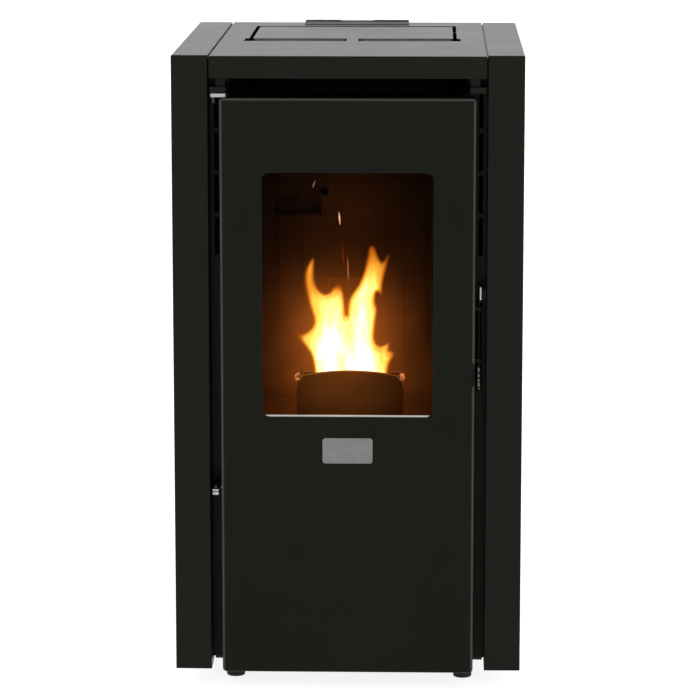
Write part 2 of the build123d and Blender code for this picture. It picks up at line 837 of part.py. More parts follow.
def latch_keeper():
    z0 = latch_high + (tongue_height - keeper_height) / 2
    z1 = z0 + keeper_height
    x1 = inner_half - keeper_arm_gap
    x0 = x1 - keeper_arm
    lip_back = latch_back - tongue_offset - tongue_width / 2 - keeper_play
    lip_front = lip_back - keeper_lip_thickness
    arm = block(x0, x1, lip_front, body_front, z0, z1)
    lip = block(x1 - keeper_lip, x0, lip_front, lip_back, z0, z1)
    foot = block(x1 - keeper_foot, x0, body_front - body_sheet, body_front, z0, z1)
    return arm + lip + foot


# ---- body front and chassis ----
def front_frame():
    half = inner_half + case_sheet / 2
    plate = block(-half, half, body_front, body_inner, base_top, apron_low)
    plate -= block(-mouth_half, mouth_half, body_front - 1, body_inner + 1, mouth_low, mouth_high)
    plate -= block(-outlet_half, outlet_half, body_front - 1, body_inner + 1, outlet_low, apron_low + 1)
    for side in (-1, 1):
        for index in range(slot_count):
            high = slot_top - index * slot_pitch
            x = side * slot_centre
            plate -= block(x - slot_width / 2, x + slot_width / 2, body_front - 1, body_inner + 1,
                           high - slot_length, high)
        edge = side * half
        inner = edge - side * body_sheet
        plate += block(min(edge, inner), max(edge, inner), body_inner, body_inner + body_fold, base_top, apron_low)
    return plate


def foot_places():
    x = half_width - foot_inset_x
    return [(-x, foot_front), (x, foot_front), (-x, foot_rear), (x, foot_rear)]


def chassis():
    """Base tray with its rear fold and the two upright walls that carry the firebox."""
    half = inner_half - base_inset
    tray = block(-half, half, body_front, rear_in, base_low, base_top)
    tray += block(-half, half, rear_in - base_sheet, rear_in, base_top, base_top + base_fold)
    for side in (-1, 1):
        outer = side * fire_half
        inner = outer - side * stand_sheet
        tray += block(min(outer, inner), max(outer, inner), body_inner, fire_rear - stand_inset, base_top, fire_low)
    for x, y in foot_places():
        tray -= rod("z", base_low - 1, base_top + 1, x, y, stud_radius + stud_play)
    return tray


def levelling_feet():
    feet = []
    for x, y in foot_places():
        pad = rod("z", 0, foot_height, x, y, foot_radius)
        pad = fillet(pad.edges().filter_by(GeomType.CIRCLE), foot_round)
        nut = extrude(Pos(x, y, base_low - nut_height) * RegularPolygon(nut_radius, 6), amount=nut_height)
        feet.append(pad + rod("z", foot_height, stud_top, x, y, stud_radius) + nut)
    return Compound(feet)


# ---- firebox ----
def feed_frame():
    """Frame of the pellet feed: its Z runs along the auger to the fire, its -Y down the chute."""
    return Plane(origin=(0, auger_y, auger_z), x_dir=(1, 0, 0), z_dir=(0, -1, 1)).location


def chute_box(grow, down, up, start, end):
    half = chute_width / 2 + grow
    body = block(-half, half, -down, up, start, end)
    return feed_frame() * body


def firebox():
    shell = block(-fire_half, fire_half, body_inner, fire_rear, fire_low, fire_high)
    s = fire_sheet
    shell -= block(-fire_inner_half, fire_inner_half, body_inner - 1, fire_inner_rear, fire_low + s, fire_high - s)
    shell -= chute_box(chute_sheet, chute_down, chute_up + chute_sheet, -chute_sheet, chute_height + chute_sheet)
    shell -= rod("y", fire_inner_rear - 1, fire_rear + 1, intake_x, intake_z, intake_radius + pipe_swage)
    shell -= rod("y", fire_inner_rear - 1, fire_rear + 1, 0, igniter_height, igniter_radius)
    for side in (-1, 1):
        x = side * (drawer_half - drawer_runner)
        shell += block(x - drawer_runner / 2, x + drawer_runner / 2, drawer_front, drawer_back, fire_low + s,
                       drawer_low - lug_gap)
    return shell - smoke_opening()


def smoke_opening():
    x0 = smoke_x - channel_width / 2 + 2 * channel_sheet
    x1 = smoke_x + channel_width / 2 - 2 * channel_sheet
    if x1 > -chute_width / 2 - 2 * chute_sheet:
        x1 = -chute_width / 2 - 2 * chute_sheet
    high = channel_top - 2 * channel_sheet
    return block(x0, x1, fire_inner_rear - fire_back_thickness - 1, fire_rear + 1, high - smoke_window, high)


def fire_back():
    x = fire_inner_half - liner_thickness
    front = fire_inner_rear - fire_back_thickness
    plate = block(-x, x, front, fire_inner_rear, hearth_top, baffle_low)
    span = 2 * x - 2 * rib_width
    for index in range(rib_count):
        middle = -x + rib_width + span * index / (rib_count - 1)
        plate += block(middle - rib_width / 2, middle + rib_width / 2, front - rib_depth, front,
                       hearth_top + rib_width, baffle_low - rib_width)
    plate -= chute_box(chute_sheet, chute_down, chute_up + chute_sheet, -chute_sheet, chute_height + chute_sheet)
    plate -= rod("y", front - rib_depth - 1, fire_inner_rear + 1, 0, igniter_height, igniter_radius)
    smoke = smoke_opening().bounding_box()
    return plate - block(smoke.min.X, smoke.max.X, front - rib_depth - 1, fire_inner_rear + 1,
                         smoke.min.Z, smoke.max.Z)


def side_liner(side):
    outer = side * fire_inner_half
    inner = side * (fire_inner_half - liner_thickness)
    return block(min(outer, inner), max(outer, inner), body_inner + liner_front, fire_inner_rear,
                 hearth_top, baffle_low)


def baffle_plate():
    front = body_inner + baffle_gap
    low = baffle_low
    points = [(fire_inner_rear, low), (fire_inner_rear, low + baffle_sheet),
              (front, low + baffle_rise + baffle_sheet), (front, low + baffle_rise)]
    return slab_yz(points, -fire_inner_half, fire_inner_half)


def hearth_plate():
    front = body_inner + hearth_front
    plate = block(-fire_inner_half, fire_inner_half, front, fire_inner_rear, hearth_top - hearth_sheet, hearth_top)
    x = pot_half - pot_seat + pot_play
    y0 = pot_front + pot_seat - pot_play
    y1 = pot_rear - pot_seat + pot_play
    return plate - block(-x, x, y0, y1, hearth_top - hearth_sheet - 1, hearth_top + 1)


def burn_pot():
    shell = block(-pot_half, pot_half, pot_front, pot_rear, pot_low, pot_rim)
    shell = fillet(along(shell, Axis.Z), pot_wall)
    w = pot_wall
    inside = block(-pot_half + w, pot_half - w, pot_front + w, pot_rear - w, pot_low + pot_floor, pot_rim + 1)
    shell -= fillet(along(inside, Axis.Z), w / 2)
    seat = pot_half - pot_seat
    shell += block(-seat, seat, pot_front + pot_seat, pot_rear - pot_seat, pot_low - pot_skirt, pot_low)
    shell += pot_arch()
    middle_y = (pot_front + pot_rear) / 2
    for column in range(grate_columns):
        x = (column - (grate_columns - 1) / 2) * grate_pitch
        for row in range(grate_rows):
            y = middle_y + (row - (grate_rows - 1) / 2) * grate_pitch
            shell -= rod("z", pot_low - pot_skirt - 1, pot_low + pot_floor + 1, x, y, grate_hole)
    return shell - rod("y", pot_rear - w - 1, pot_rear + 1, 0, igniter_height, igniter_radius - 1)


def pot_arch():
    end = pot_rim + arch_over
    top = ThreePointArc((-pot_half, end), (0, end + arch_rise), (pot_half, end))
    rest = Polyline((pot_half, end), (pot_half, pot_low), (-pot_half, pot_low), (-pot_half, end))
    outline = Plane(origin=(0, pot_front, 0), x_dir=(1, 0, 0), z_dir=(0, -1, 0)) * make_face(top + rest)
    plate = extrude(outline, amount=arch_thickness, dir=(0, -1, 0))
    for side in (-1, 1):
        x = side * (pot_half - arch_lug_radius / 2)
        plate += rod("y", pot_front - arch_thickness - 2, pot_front, x, end, arch_lug_radius)
    return plate


def ember_bed():
    x = pot_half - pot_wall - ember_inset
    y0 = pot_front + pot_wall + ember_inset
    y1 = pot_rear - pot_wall - ember_inset
    low = pot_low + pot_floor
    bed = block(-x, x, y0, y1, low, low + ember_height)
    return fillet(bed.faces().sort_by(Axis.Z)[-1].edges(), ember_height / 4)


def ash_drawer():
    half = drawer_half
    high = drawer_low + drawer_height
    s = drawer_sheet
    tray = block(-half, half, drawer_front, drawer_back, drawer_low, high)
    tray -= block(-half + s, half - s, drawer_front + s, drawer_back - s, drawer_low + s, high + 1)
    low = drawer_low + (drawer_height - handle_bar) / 2
    reach = drawer_front - handle_reach
    bar = block(-handle_width / 2, handle_width / 2, reach, reach + handle_bar, low, low + handle_bar)
    for side in (-1, 1):
        x = side * (handle_width / 2 - handle_bar / 2)
        bar += block(x - handle_bar / 2, x + handle_bar / 2, reach, drawer_front, low, low + handle_bar)
    return tray + bar


def igniter():
    body = rod("y", pot_rear + igniter_gap, fire_rear + igniter_tail, 0, igniter_height, igniter_radius)
    return chamfer(body.edges().group_by(Axis.Y)[0], igniter_radius / 4)


# ---- pellet feed ----
def chute():
    s = chute_sheet
    shell = chute_box(s, chute_down, chute_up + s, -s, chute_height + s)
    shell -= chute_box(0, chute_down + 1, chute_up, 0, chute_height)
    shell -= feed_frame() * Cylinder(auger_radius, 4 * s)
    half = chute_width / 2 + s + chute_flange
    low = auger_z - (auger_y - fire_rear)
    high = low + (chute_height + s) * math.sqrt(2)
    flange = block(-half, half, fire_rear, fire_rear + s, low - 2 * chute_flange, high + 2 * chute_flange)
    flange -= chute_box(s, chute_down, chute_up + s, -s, chute_height + s)
    return shell + flange


def auger_tube():
    tube = Cylinder(auger_radius, auger_length) - Cylinder(auger_radius - auger_wall, auger_length + 1)
    tube = Pos(0, 0, -auger_length / 2) * tube
    end = Pos(0, 0, -auger_length + auger_wall) * Cylinder(auger_radius - auger_wall, 2 * auger_wall)
    end -= Pos(0, 0, -auger_length) * Cylinder(screw_shaft + shaft_play, 6 * auger_wall)
    inlet = block(-neck_half + 2 * hopper_sheet, neck_half - 2 * hopper_sheet, auger_radius / 2, 2 * auger_radius,
                  -feed_from - feed_length, -feed_from)
    return feed_frame() * (tube + end - inlet)


def auger_screw():
    reach = auger_length - 4 * auger_wall
    radius = auger_radius - auger_wall - screw_play
    path = Helix(pitch=screw_pitch, height=reach - 2 * screw_pitch / 3, radius=(radius + screw_shaft) / 2)
    start = Plane(origin=path @ 0, z_dir=path % 0, x_dir=(1, 0, 0))
    blade = sweep(start * Rectangle(radius - screw_shaft + 1, screw_blade), path=path, is_frenet=True)
    shaft = Pos(0, 0, (reach - gearbox_length) / 2) * Cylinder(screw_shaft, reach + gearbox_length)
    return feed_frame() * Pos(0, 0, -reach) * (Pos(0, 0, screw_pitch / 3) * blade + shaft)


def auger_gearmotor():
    start = -auger_length
    half = gearbox_size / 2
    box = block(-half, half, -half, half, start - gearbox_length, start)
    box = fillet(along(box, Axis.Z), gearbox_size / 10)
    box -= Pos(0, 0, start) * Cylinder(screw_shaft + shaft_play, 3 * gearbox_length)
    can = Pos(0, 0, start - gearbox_length - motor_length / 2) * Cylinder(motor_radius, motor_length)
    can = fillet(can.edges().group_by(Axis.Z)[0], motor_radius / 8)
    return feed_frame() * (box + can)


def hopper_taper(shrink):
    """Tapering lower part of the hopper."""
    top = Pos(0, hopper_front + hopper_depth / 2, hopper_waist) * Rectangle(
        2 * (hopper_half - shrink), hopper_depth - 2 * shrink)
    low = Pos(0, neck_front + neck_depth / 2, hopper_neck_top) * Rectangle(
        2 * (neck_half - shrink), neck_depth - 2 * shrink)
    return loft([low, top])


def hopper():
    s = hopper_sheet
    x = hopper_half
    y0 = hopper_front
    y1 = hopper_front + hopper_depth
    shell = block(-x, x, y0, y1, hopper_waist, hopper_rim)
    flange_top = hopper_rim - rim_flange_drop
    shell += block(-x - rim_flange, x + rim_flange, y0, y1 + rim_flange, flange_top - s, flange_top)
    shell += hopper_taper(0)
    neck_low = auger_z - auger_length
    shell += block(-neck_half, neck_half, neck_front, neck_front + neck_depth, neck_low, hopper_neck_top)
    shell -= block(-x + s, x - s, y0 + s, y1 - s, hopper_waist, hopper_rim + 1)
    shell -= hopper_taper(s)
    shell -= block(-neck_half + s, neck_half - s, neck_front + s, neck_front + neck_depth - s,
                   neck_low - 1, hopper_neck_top)
    reach = 4 * auger_length
    shell -= feed_frame() * Cylinder(auger_radius + neck_play, reach)
    return shell - feed_frame() * block(-reach, reach, -reach, 0, -reach, reach)


# ---- smoke path ----
def volute_body(shrink, front, back):
    radius = volute_radius - shrink
    low = smoke_z - volute_radius + shrink
    high = low + outlet_height - 2 * shrink
    drum = rod("y", front, back, smoke_x, smoke_z, radius)
    return drum + block(smoke_x, outlet_end - shrink, front, back, low, high)


def smoke_fan_housing():
    s = volute_sheet
    shell = volute_body(0, volute_front, volute_back) - volute_body(s, volute_front + s, volute_back - s)
    shell -= rod("y", volute_front - 1, volute_front + s + 1, smoke_x, smoke_z, volute_mouth)
    shell -= rod("y", volute_back - s - 1, volute_back + 1, smoke_x, smoke_z, smoke_shaft + shaft_play)
    return shell - rod("y", volute_back - s - 1, volute_back + 1, flue_x, flue_z, outlet_height / 2 - 2 * s)


def smoke_impeller():
    back = volute_back - volute_sheet - impeller_gap
    front = back - impeller_depth
    wheel = rod("y", back - impeller_disc, back, smoke_x, smoke_z, impeller_radius)
    wheel += rod("y", front + impeller_depth / 2, back, smoke_x, smoke_z, impeller_hub)
    for index in range(impeller_blades):
        blade = block(impeller_hub - 2, impeller_radius - 1, front, back - impeller_disc / 2,
                      -impeller_blade / 2, impeller_blade / 2)
        angle = 360 * index / impeller_blades
        wheel += Pos(smoke_x, 0, smoke_z) * Rot(0, angle, 0) * blade
    shaft_end = volute_back + smoke_shaft_reach
    return wheel + rod("y", front + impeller_depth / 2, shaft_end, smoke_x, smoke_z, smoke_shaft)


def smoke_motor():
    can = rod("y", volute_back, volute_back + smoke_motor_length, smoke_x, smoke_z, smoke_motor_radius)
    can = fillet(can.edges().group_by(Axis.Y)[-1], smoke_motor_radius / 8)
    bore = rod("y", volute_back - 1, volute_back + smoke_shaft_reach + 1, smoke_x, smoke_z, smoke_shaft + shaft_play)
    return can - bore


def spigot_pipe(start, stub, x, z, radius, wall):
    """Pipe that leaves the rear panel through a collar; its stub behind the casings is a little thinner."""
    end = case_depth + stub
    tube = rod("y", start, rear_out, x, z, radius + pipe_swage)
    tube += rod("y", rear_out, case_depth, x, z, radius + collar_width)
    tube += rod("y", case_depth, end, x, z, radius)
    return tube - rod("y", start - 1, end + 1, x, z, radius - wall)


def flue_pipe():
    return spigot_pipe(volute_back, flue_stub, flue_x, flue_z, flue_radius, flue_wall)


def smoke_channel():
    s = channel_sheet
    x0 = smoke_x - channel_width / 2
    x1 = smoke_x + channel_width / 2
    if x1 > -chute_width / 2 - chute_sheet - chute_flange:
        x1 = -chute_width / 2 - chute_sheet - chute_flange
    y0 = fire_rear
    y1 = fire_rear + channel_depth
    knee = fire_low - 2 * s
    shell = block(x0, x1, y0, y1, channel_low, channel_top) + block(x0, x1, y1, volute_front, channel_low, knee)
    shell -= block(x0 + s, x1 - s, y0 + s, y1 - s, channel_low + s, channel_top - s)
    shell -= block(x0 + s, x1 - s, y1 - s - 1, volute_front - s, channel_low + s, knee - s)
    shell -= smoke_opening()
    return shell - rod("y", volute_front - s - 1, volute_front + 1, smoke_x, smoke_z, volute_mouth)


def air_intake_pipe():
    start = fire_inner_rear - 2 * fire_sheet
    return spigot_pipe(start, intake_stub, intake_x, intake_z, intake_radius, intake_wall)


# ---- room air ----
def room_fan_rotor():
    half = rotor_half
    rotor = None
    for x in (-half, 0, half - rotor_disc):
        disc = rod("x", x, x + rotor_disc, rotor_y, rotor_z, rotor_radius)
        rotor = disc if rotor is None else rotor + disc
    for index in range(rotor_blades):
        angle = 360 * index / rotor_blades
        blade = block(-half, half, rotor_radius - rotor_blade_depth, rotor_radius,
                      -rotor_blade / 2, rotor_blade / 2)
        rotor += Pos(0, rotor_y, rotor_z) * Rot(angle, 0, 0) * blade
    reach = half + scroll_end_gap + scroll_sheet + room_motor_length / 2
    return rotor + rod("x", -half - scroll_end_gap - scroll_sheet, reach, rotor_y, rotor_z, rotor_shaft)


def room_fan_housing():
    inner = rotor_radius + rotor_play
    outer = inner + scroll_sheet
    half = rotor_half + scroll_end_gap
    end = half + scroll_sheet
    shell = rod("x", -end, end, rotor_y, rotor_z, outer) - rod("x", -half, half, rotor_y, rotor_z, inner)
    shell -= block(-half, half, rotor_y - 2 * outer, rotor_y, rotor_z - scroll_mouth / 2, rotor_z + scroll_mouth / 2)
    shell -= block(-half, half, rotor_y, rotor_y + scroll_mouth / 2, rotor_z, rotor_z + 2 * outer)
    shell -= rod("x", -end - 1, end + 1, rotor_y, rotor_z, rotor_shaft + shaft_play)
    for side in (-1, 1):
        x0 = side * half
        x1 = side * end
        shell += block(min(x0, x1), max(x0, x1), rotor_y - outer / 2, rotor_y + outer / 2,
                       base_top, rotor_z - outer / 2)
    return shell


def room_fan_motor():
    start = rotor_half + scroll_end_gap + scroll_sheet
    can = rod("x", start, start + room_motor_length, rotor_y, rotor_z, room_motor_radius)
    can = fillet(can.edges().group_by(Axis.X)[-1], room_motor_radius / 8)
    bore = rod("x", start - 1, start + room_motor_length / 2 + 1, rotor_y, rotor_z, rotor_shaft + shaft_play)
    return can - bore


def hot_air_duct():
    half = outlet_half
    s = duct_sheet
    back = fire_rear
    duct = block(-half - s, half + s, body_inner, back, fire_high, duct_top)
    duct -= block(-half, half, body_inner - 1, back + 1, fire_high + s, duct_top - s)
    inner = half + s - duct_flange
    return duct - block(-inner, inner, body_inner - 1, back + 1, fire_high - 1, fire_high + s + 1)


# ---- rear ----
def rear_panel():
    half = half_width - case_sheet - 1
    panel = block(-half, half, rear_in, rear_out, base_low, apron_low - 1)
    panel -= rod("y", rear_in - 1, rear_out + 1, flue_x, flue_z, flue_radius + pipe_swage)
    panel -= rod("y", rear_in - 1, rear_out + 1, intake_x, intake_z, intake_radius + pipe_swage)
    for index in range(louvre_count):
        z = louvre_low + index * louvre_pitch
        panel -= block(-louvre_length / 2, louvre_length / 2, rear_in - 1, rear_out + 1, z, z + louvre_width)
    panel -= socket_body()
    panel -= switch_body()
    for side in (-1, 1):
        panel -= rod("y", rear_in - 1, rear_out + 1, cap_x + side * cap_pitch / 2, cap_z, cap_radius / 2)
    return panel


def socket_body():
    w = inlet_width / 2 - inlet_rim
    h = inlet_height / 2 - inlet_rim
    return block(inlet_x - w, inlet_x + w, rear_out - inlet_body, rear_out, inlet_z - h, inlet_z + h)


def mains_inlet():
    w = inlet_width / 2
    h = inlet_height / 2
    mouth = rear_out + inlet_rim
    shell = socket_body() + block(inlet_x - w, inlet_x + w, rear_out, mouth, inlet_z - h, inlet_z + h)
    shell -= block(inlet_x - socket_width / 2, inlet_x + socket_width / 2, mouth - socket_depth, mouth + 1,
                   inlet_z - socket_height / 2, inlet_z + socket_height / 2)
    for column, drop in ((-1, socket_pin_drop), (0, -socket_pin_drop), (1, socket_pin_drop)):
        x = inlet_x + column * socket_pin_pitch
        z = inlet_z - drop
        shell += block(x - socket_pin_thickness / 2, x + socket_pin_thickness / 2, mouth - socket_depth - 1,
                       mouth - socket_depth + socket_pin_length, z - socket_pin_width / 2, z + socket_pin_width / 2)
    return shell


def switch_body():
    w = switch_width / 2 - inlet_rim
    h = switch_height / 2 - inlet_rim
    return block(inlet_x - w, inlet_x + w, rear_out - switch_depth, rear_out, switch_z - h, switch_z + h)


def switch_frame():
    w = switch_width / 2
    h = switch_height / 2
    mouth = rear_out + inlet_rim
    shell = switch_body() + block(inlet_x - w, inlet_x + w, rear_out, mouth, switch_z - h, switch_z + h)
    x = rocker_width / 2 + rocker_play
    shell -= rod("x", inlet_x - x, inlet_x + x, rocker_y, switch_z, rocker_radius + rocker_play)
    return shell - rod("x", inlet_x - x - 1, inlet_x + x + 1, rocker_y, switch_z, rocker_pin + shaft_play)


def power_rocker():
    """Rocker with two flat halves; one half stands level with the frame, the other stands out."""
    x0 = inlet_x - rocker_width / 2
    x1 = inlet_x + rocker_width / 2
    place = Pos(0, rocker_y, switch_z)
    reach = 3 * rocker_radius
    top = rocker_setback + rocker_proud
    body = rod("x", x0, x1, rocker_y, switch_z, rocker_radius)
    for side in (-1, 1):
        cutter = block(x0 - 1, x1 + 1, top, top + reach, -reach, reach)
        body -= place * Rot(side * rocker_tilt, 0, 0) * cutter
    body += rod("x", x0 - 2 * rocker_play, x1 + 2 * rocker_play, rocker_y, switch_z, rocker_pin)
    return place * Rot(-rocker_tilt, 0, 0) * place.inverse() * body


def reset_caps():
    caps = []
    for side in (-1, 1):
        x = cap_x + side * cap_pitch / 2
        cap = rod("y", rear_out, rear_out + cap_height, x, cap_z, cap_radius)
        cap = fillet(cap.edges().group_by(Axis.Y)[-1], cap_radius / 6)
        caps.append(cap + rod("y", rear_in - cap_height, rear_out, x, cap_z, cap_radius / 2))
    return Compound(caps)


def electronics_box():
    x0 = box_x - box_width / 2
    box = block(x0, x0 + box_width, rear_in - box_depth, rear_in, box_low, box_low + box_height)
    return fillet(along(box, Axis.Y), box_depth / 8)


def casing_screws():
    heads = []
    span = apron_low - case_lift - 4 * back_fold      # between the lowest and the highest screw
    for side in (-1, 1):
        x = side * (half_width - back_fold / 2)
        for row in range(screw_rows):
            z = case_lift + 2 * back_fold + span * row / (screw_rows - 1)
            head = rod("y", case_depth, case_depth + screw_head, x, z, screw_radius)
            head = fillet(head.edges().group_by(Axis.Y)[-1], screw_head / 3)
            slot = block(x - screw_radius / 2, x + screw_radius / 2, case_depth + screw_head / 2,
                         case_depth + screw_head + 1, z - screw_slot / 2, z + screw_slot / 2)
            heads.append(head - slot - Pos(x, 0, z) * Rot(0, 90, 0) * Pos(-x, 0, -z) * slot)
    return Compound(heads)


left_casing = side_casing()
pieces = {
    "left_side_casing": left_casing,
    "right_side_casing": mirrored(left_casing),
    "top_cover": top_cover(),
    "hopper_lid": hopper_lid(),
    "lid_hinge_pins": lid_hinge_pins(),
    "lid_seal": lid_seal(),
    "control_bezel": control_bezel(),
    "control_glass": control_glass(),
    "display_screen": display_screen(),
    "door_panel": door_panel(),
    "name_plate": name_plate(),
    "door_glass": door_glass(),
    "glass_gasket": glass_gasket(),
    "glass_trim": glass_trim(),
    "door_frame": door_frame(),
    "rope_seal": rope_seal(),
    "hinge_lugs": Compound([upper_lug(), lower_lug()]),
    "upper_hinge_brackets": Compound([upper_hinge_bracket(True), mirrored(upper_hinge_bracket(False))]),
    "lower_hinge_bracket": lower_hinge_bracket(),
    "hinge_pins": Compound([upper_hinge_pin(), lower_hinge_pin(), hinge_washer()]),
    "latch_rod": latch_rod(),
    "latch_grip": latch_grip(),
    "latch_keeper": latch_keeper(),
    "front_frame": front_frame(),
    "chassis": chassis(),
    "levelling_feet": levelling_feet(),
    "firebox": firebox(),
    "fire_back": fire_back(),
    "side_liners": Compound([side_liner(-1), side_liner(1)]),
    "baffle_plate": baffle_plate(),
    "hearth_plate": hearth_plate(),
    "burn_pot": burn_pot(),
    "ember_bed": ember_bed(),
    "ash_drawer": ash_drawer(),
    "igniter": igniter(),
    "chute": chute(),
    "auger_tube": auger_tube(),
    "auger_screw": auger_screw(),
    "auger_gearmotor": auger_gearmotor(),
    "hopper": hopper(),
    "smoke_fan_housing": smoke_fan_housing(),
    "smoke_impeller": smoke_impeller(),
    "smoke_motor": smoke_motor(),
    "flue_pipe": flue_pipe(),
    "smoke_channel": smoke_channel(),
    "air_intake_pipe": air_intake_pipe(),
    "room_fan_rotor": room_fan_rotor(),
    "room_fan_housing": room_fan_housing(),
    "room_fan_motor": room_fan_motor(),
    "hot_air_duct": hot_air_duct(),
    "rear_panel": rear_panel(),
    "mains_inlet": mains_inlet() + switch_frame(),
    "power_rocker": power_rocker(),
    "reset_caps": reset_caps(),
    "electronics_box": electronics_box(),
    "casing_screws": casing_screws(),
}
for number, place in enumerate(button_places(), start=1):
    pieces[f"push_button_{number}"] = push_button(place)

os.makedirs("parts", exist_ok=True)
for name, shape in pieces.items():
    export_step(Pos(0, -y_middle, 0) * shape, f"parts/{name}.step")
print(len(pieces), "nodes, origin", y_middle, "mm behind the casing fronts")
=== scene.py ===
# %% [markdown]
# # A pellet stove, dressed in Blender
#
# The stove's sheet metal, its door, its fan and its feed screw come ready made, each as a mesh of its own
# and already in its place. This lesson gives them their finishes and builds what a drawing office leaves
# out: the fire, the glowing pellets, the sparks and the braided rope that seals the door. Lengths are in
# metres, X runs to the right of someone facing the door, Y to the back and Z up from the floor.

# %% Load the stove
import bpy
import math
import random
from mathutils import Matrix, Vector, noise


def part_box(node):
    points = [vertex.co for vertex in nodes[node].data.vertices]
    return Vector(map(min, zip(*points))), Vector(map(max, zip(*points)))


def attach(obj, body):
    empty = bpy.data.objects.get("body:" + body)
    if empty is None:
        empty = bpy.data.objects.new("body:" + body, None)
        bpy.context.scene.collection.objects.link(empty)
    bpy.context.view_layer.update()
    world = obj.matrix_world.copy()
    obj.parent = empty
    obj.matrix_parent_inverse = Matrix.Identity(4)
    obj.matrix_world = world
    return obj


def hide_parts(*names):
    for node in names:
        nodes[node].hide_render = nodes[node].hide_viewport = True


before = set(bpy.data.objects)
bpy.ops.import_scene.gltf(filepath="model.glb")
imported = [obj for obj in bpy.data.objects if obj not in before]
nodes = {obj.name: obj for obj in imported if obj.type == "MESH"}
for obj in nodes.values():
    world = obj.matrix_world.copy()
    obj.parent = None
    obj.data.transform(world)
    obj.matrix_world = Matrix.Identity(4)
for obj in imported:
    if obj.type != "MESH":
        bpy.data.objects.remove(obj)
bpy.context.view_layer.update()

print("pieces loaded:", len(nodes))

# %% [markdown]
# ## The camera
#
# A shop picture of a stove is taken from a few metres away, a little above the lid, so that the top shows
# as a thin band and the sides hardly lean. A long lens does that. The angles below were found by matching
# the corners of the top cover, and there is no lens shift, so that the view stays true from other sides.

# %% Camera
CAMERA_PLACE = (0.11125, -4.50891, 1.22871)
CAMERA_DIP = 10.2366
CAMERA_TURN = 1.5027
LENS = 168.946

lens = bpy.data.cameras.new("camera")
lens.sensor_width = 36
lens.lens = LENS
camera = bpy.data.objects.new("camera", lens)
camera.location = CAMERA_PLACE
camera.rotation_euler = (math.radians(90 - CAMERA_DIP), 0, math.radians(CAMERA_TURN))
bpy.context.collection.objects.link(camera)
bpy.context.scene.camera = camera
print("camera is", round((Vector(CAMERA_PLACE) - Vector((0, 0, 0.4))).length, 2), "m from the stove")

# %% [markdown]
# ## Studio light and floor
#
# Black powder coat shows only what it mirrors, so the room matters more than the lamps. An even white
# room, like a light tent, gives the pale sheen on the top, which is seen at a low angle, and leaves the
# front nearly black. A huge pale floor closes the tent from below. The plain "Standard" view keeps the
# white of the room white, and lets the middle of the fire burn out as a real picture does.

# %% Room and floor
ROOM_LIGHT = 1.2
FLOOR_REACH = 40.0
FLOOR_TONE = 0.50
FLOOR_GLOW = 0.85

scene = bpy.context.scene
scene.view_settings.view_transform = "Standard"
scene.cycles.transparent_max_bounces = 48

room = bpy.data.worlds.new("light_tent")
room.use_nodes = True
room.node_tree.nodes["Background"].inputs["Color"].default_value = (1, 1, 1, 1)
room.node_tree.nodes["Background"].inputs["Strength"].default_value = ROOM_LIGHT
scene.world = room


def make_mesh(name, points, faces, smooth=True):
    """A new object from points and faces."""
    mesh = bpy.data.meshes.new(name)
    mesh.from_pydata([tuple(point) for point in points], [], faces)
    mesh.update()
    for face in mesh.polygons:
        face.use_smooth = smooth
    made = bpy.data.objects.new(name, mesh)
    bpy.context.collection.objects.link(made)
    return made


def tube(rings, sides, closed=False, capped=False):
    """Faces from each ring of points to the next, back to the first if closed, with ends if capped."""
    faces = []
    for ring in range(rings if closed else rings - 1):
        a, b = ring * sides, (ring + 1) % rings * sides
        for k in range(sides):
            n = (k + 1) % sides
            faces.append((a + k, a + n, b + n, b + k))
    if capped:
        faces.append(tuple(reversed(range(sides))))
        faces.append(tuple(range((rings - 1) * sides, rings * sides)))
    return faces


def carry(thing, name, values):
    """Give each point of a piece a number of its own, which its finish can read."""
    numbers = thing.data.attributes.new(name, "FLOAT", "POINT")
    numbers.data.foreach_set("value", values)


r = FLOOR_REACH
floor = make_mesh("floor", [(-r, -r, 0), (r, -r, 0), (r, r, 0), (-r, r, 0)], [(0, 1, 2, 3)], smooth=False)
print("floor is", 2 * FLOOR_REACH, "m wide")

# %% [markdown]
# ## Tools for finishes
#
# Every finish is a Principled shader fed by a few small networks of nodes. The first tools make a node, a
# finish, and the coordinates of a piece. Those are Object coordinates, so nothing needs to be unwrapped.

# %% Nodes and finishes
def node(tree, kind, **settings):
    """A new shader node. Settings that name an input fill it, and the others are set on the node."""
    made = tree.nodes.new(kind)
    for key, value in settings.items():
        label = key.replace("_", " ")
        if label in made.inputs:
            made.inputs[label].default_value = value
        else:
            setattr(made, key, value)
    return made


def feed(taker, socket, value):
    """Link a value to an input of a node, given by its name or number."""
    taker.id_data.links.new(value, taker.inputs[socket])


def new_finish(name, colour, roughness, metallic=0.0, specular=0.5):
    """A material with one Principled shader, and its node tree."""
    material = bpy.data.materials.new(name)
    material.use_nodes = True
    tree = material.node_tree
    shader = tree.nodes["Principled BSDF"]
    shader.inputs["Base Color"].default_value = (*colour, 1)
    shader.inputs["Roughness"].default_value = roughness
    shader.inputs["Metallic"].default_value = metallic
    shader.inputs["Specular IOR Level"].default_value = specular
    return material, tree, shader


def place(tree, stretch=(1, 1, 1)):
    """Coordinates of the piece in metres, squeezed by the three numbers of stretch."""
    where = node(tree, "ShaderNodeTexCoord")
    scale = node(tree, "ShaderNodeMapping", Scale=stretch)
    feed(scale, "Vector", where.outputs["Object"])
    return scale.outputs["Vector"]


print("tools for nodes are ready")

# %% [markdown]
# No real finish is one flat tone. A mottle varies a colour or a roughness from place to place, and a few
# sums turn a height or a side of a piece into a mask that goes from 0 to 1.

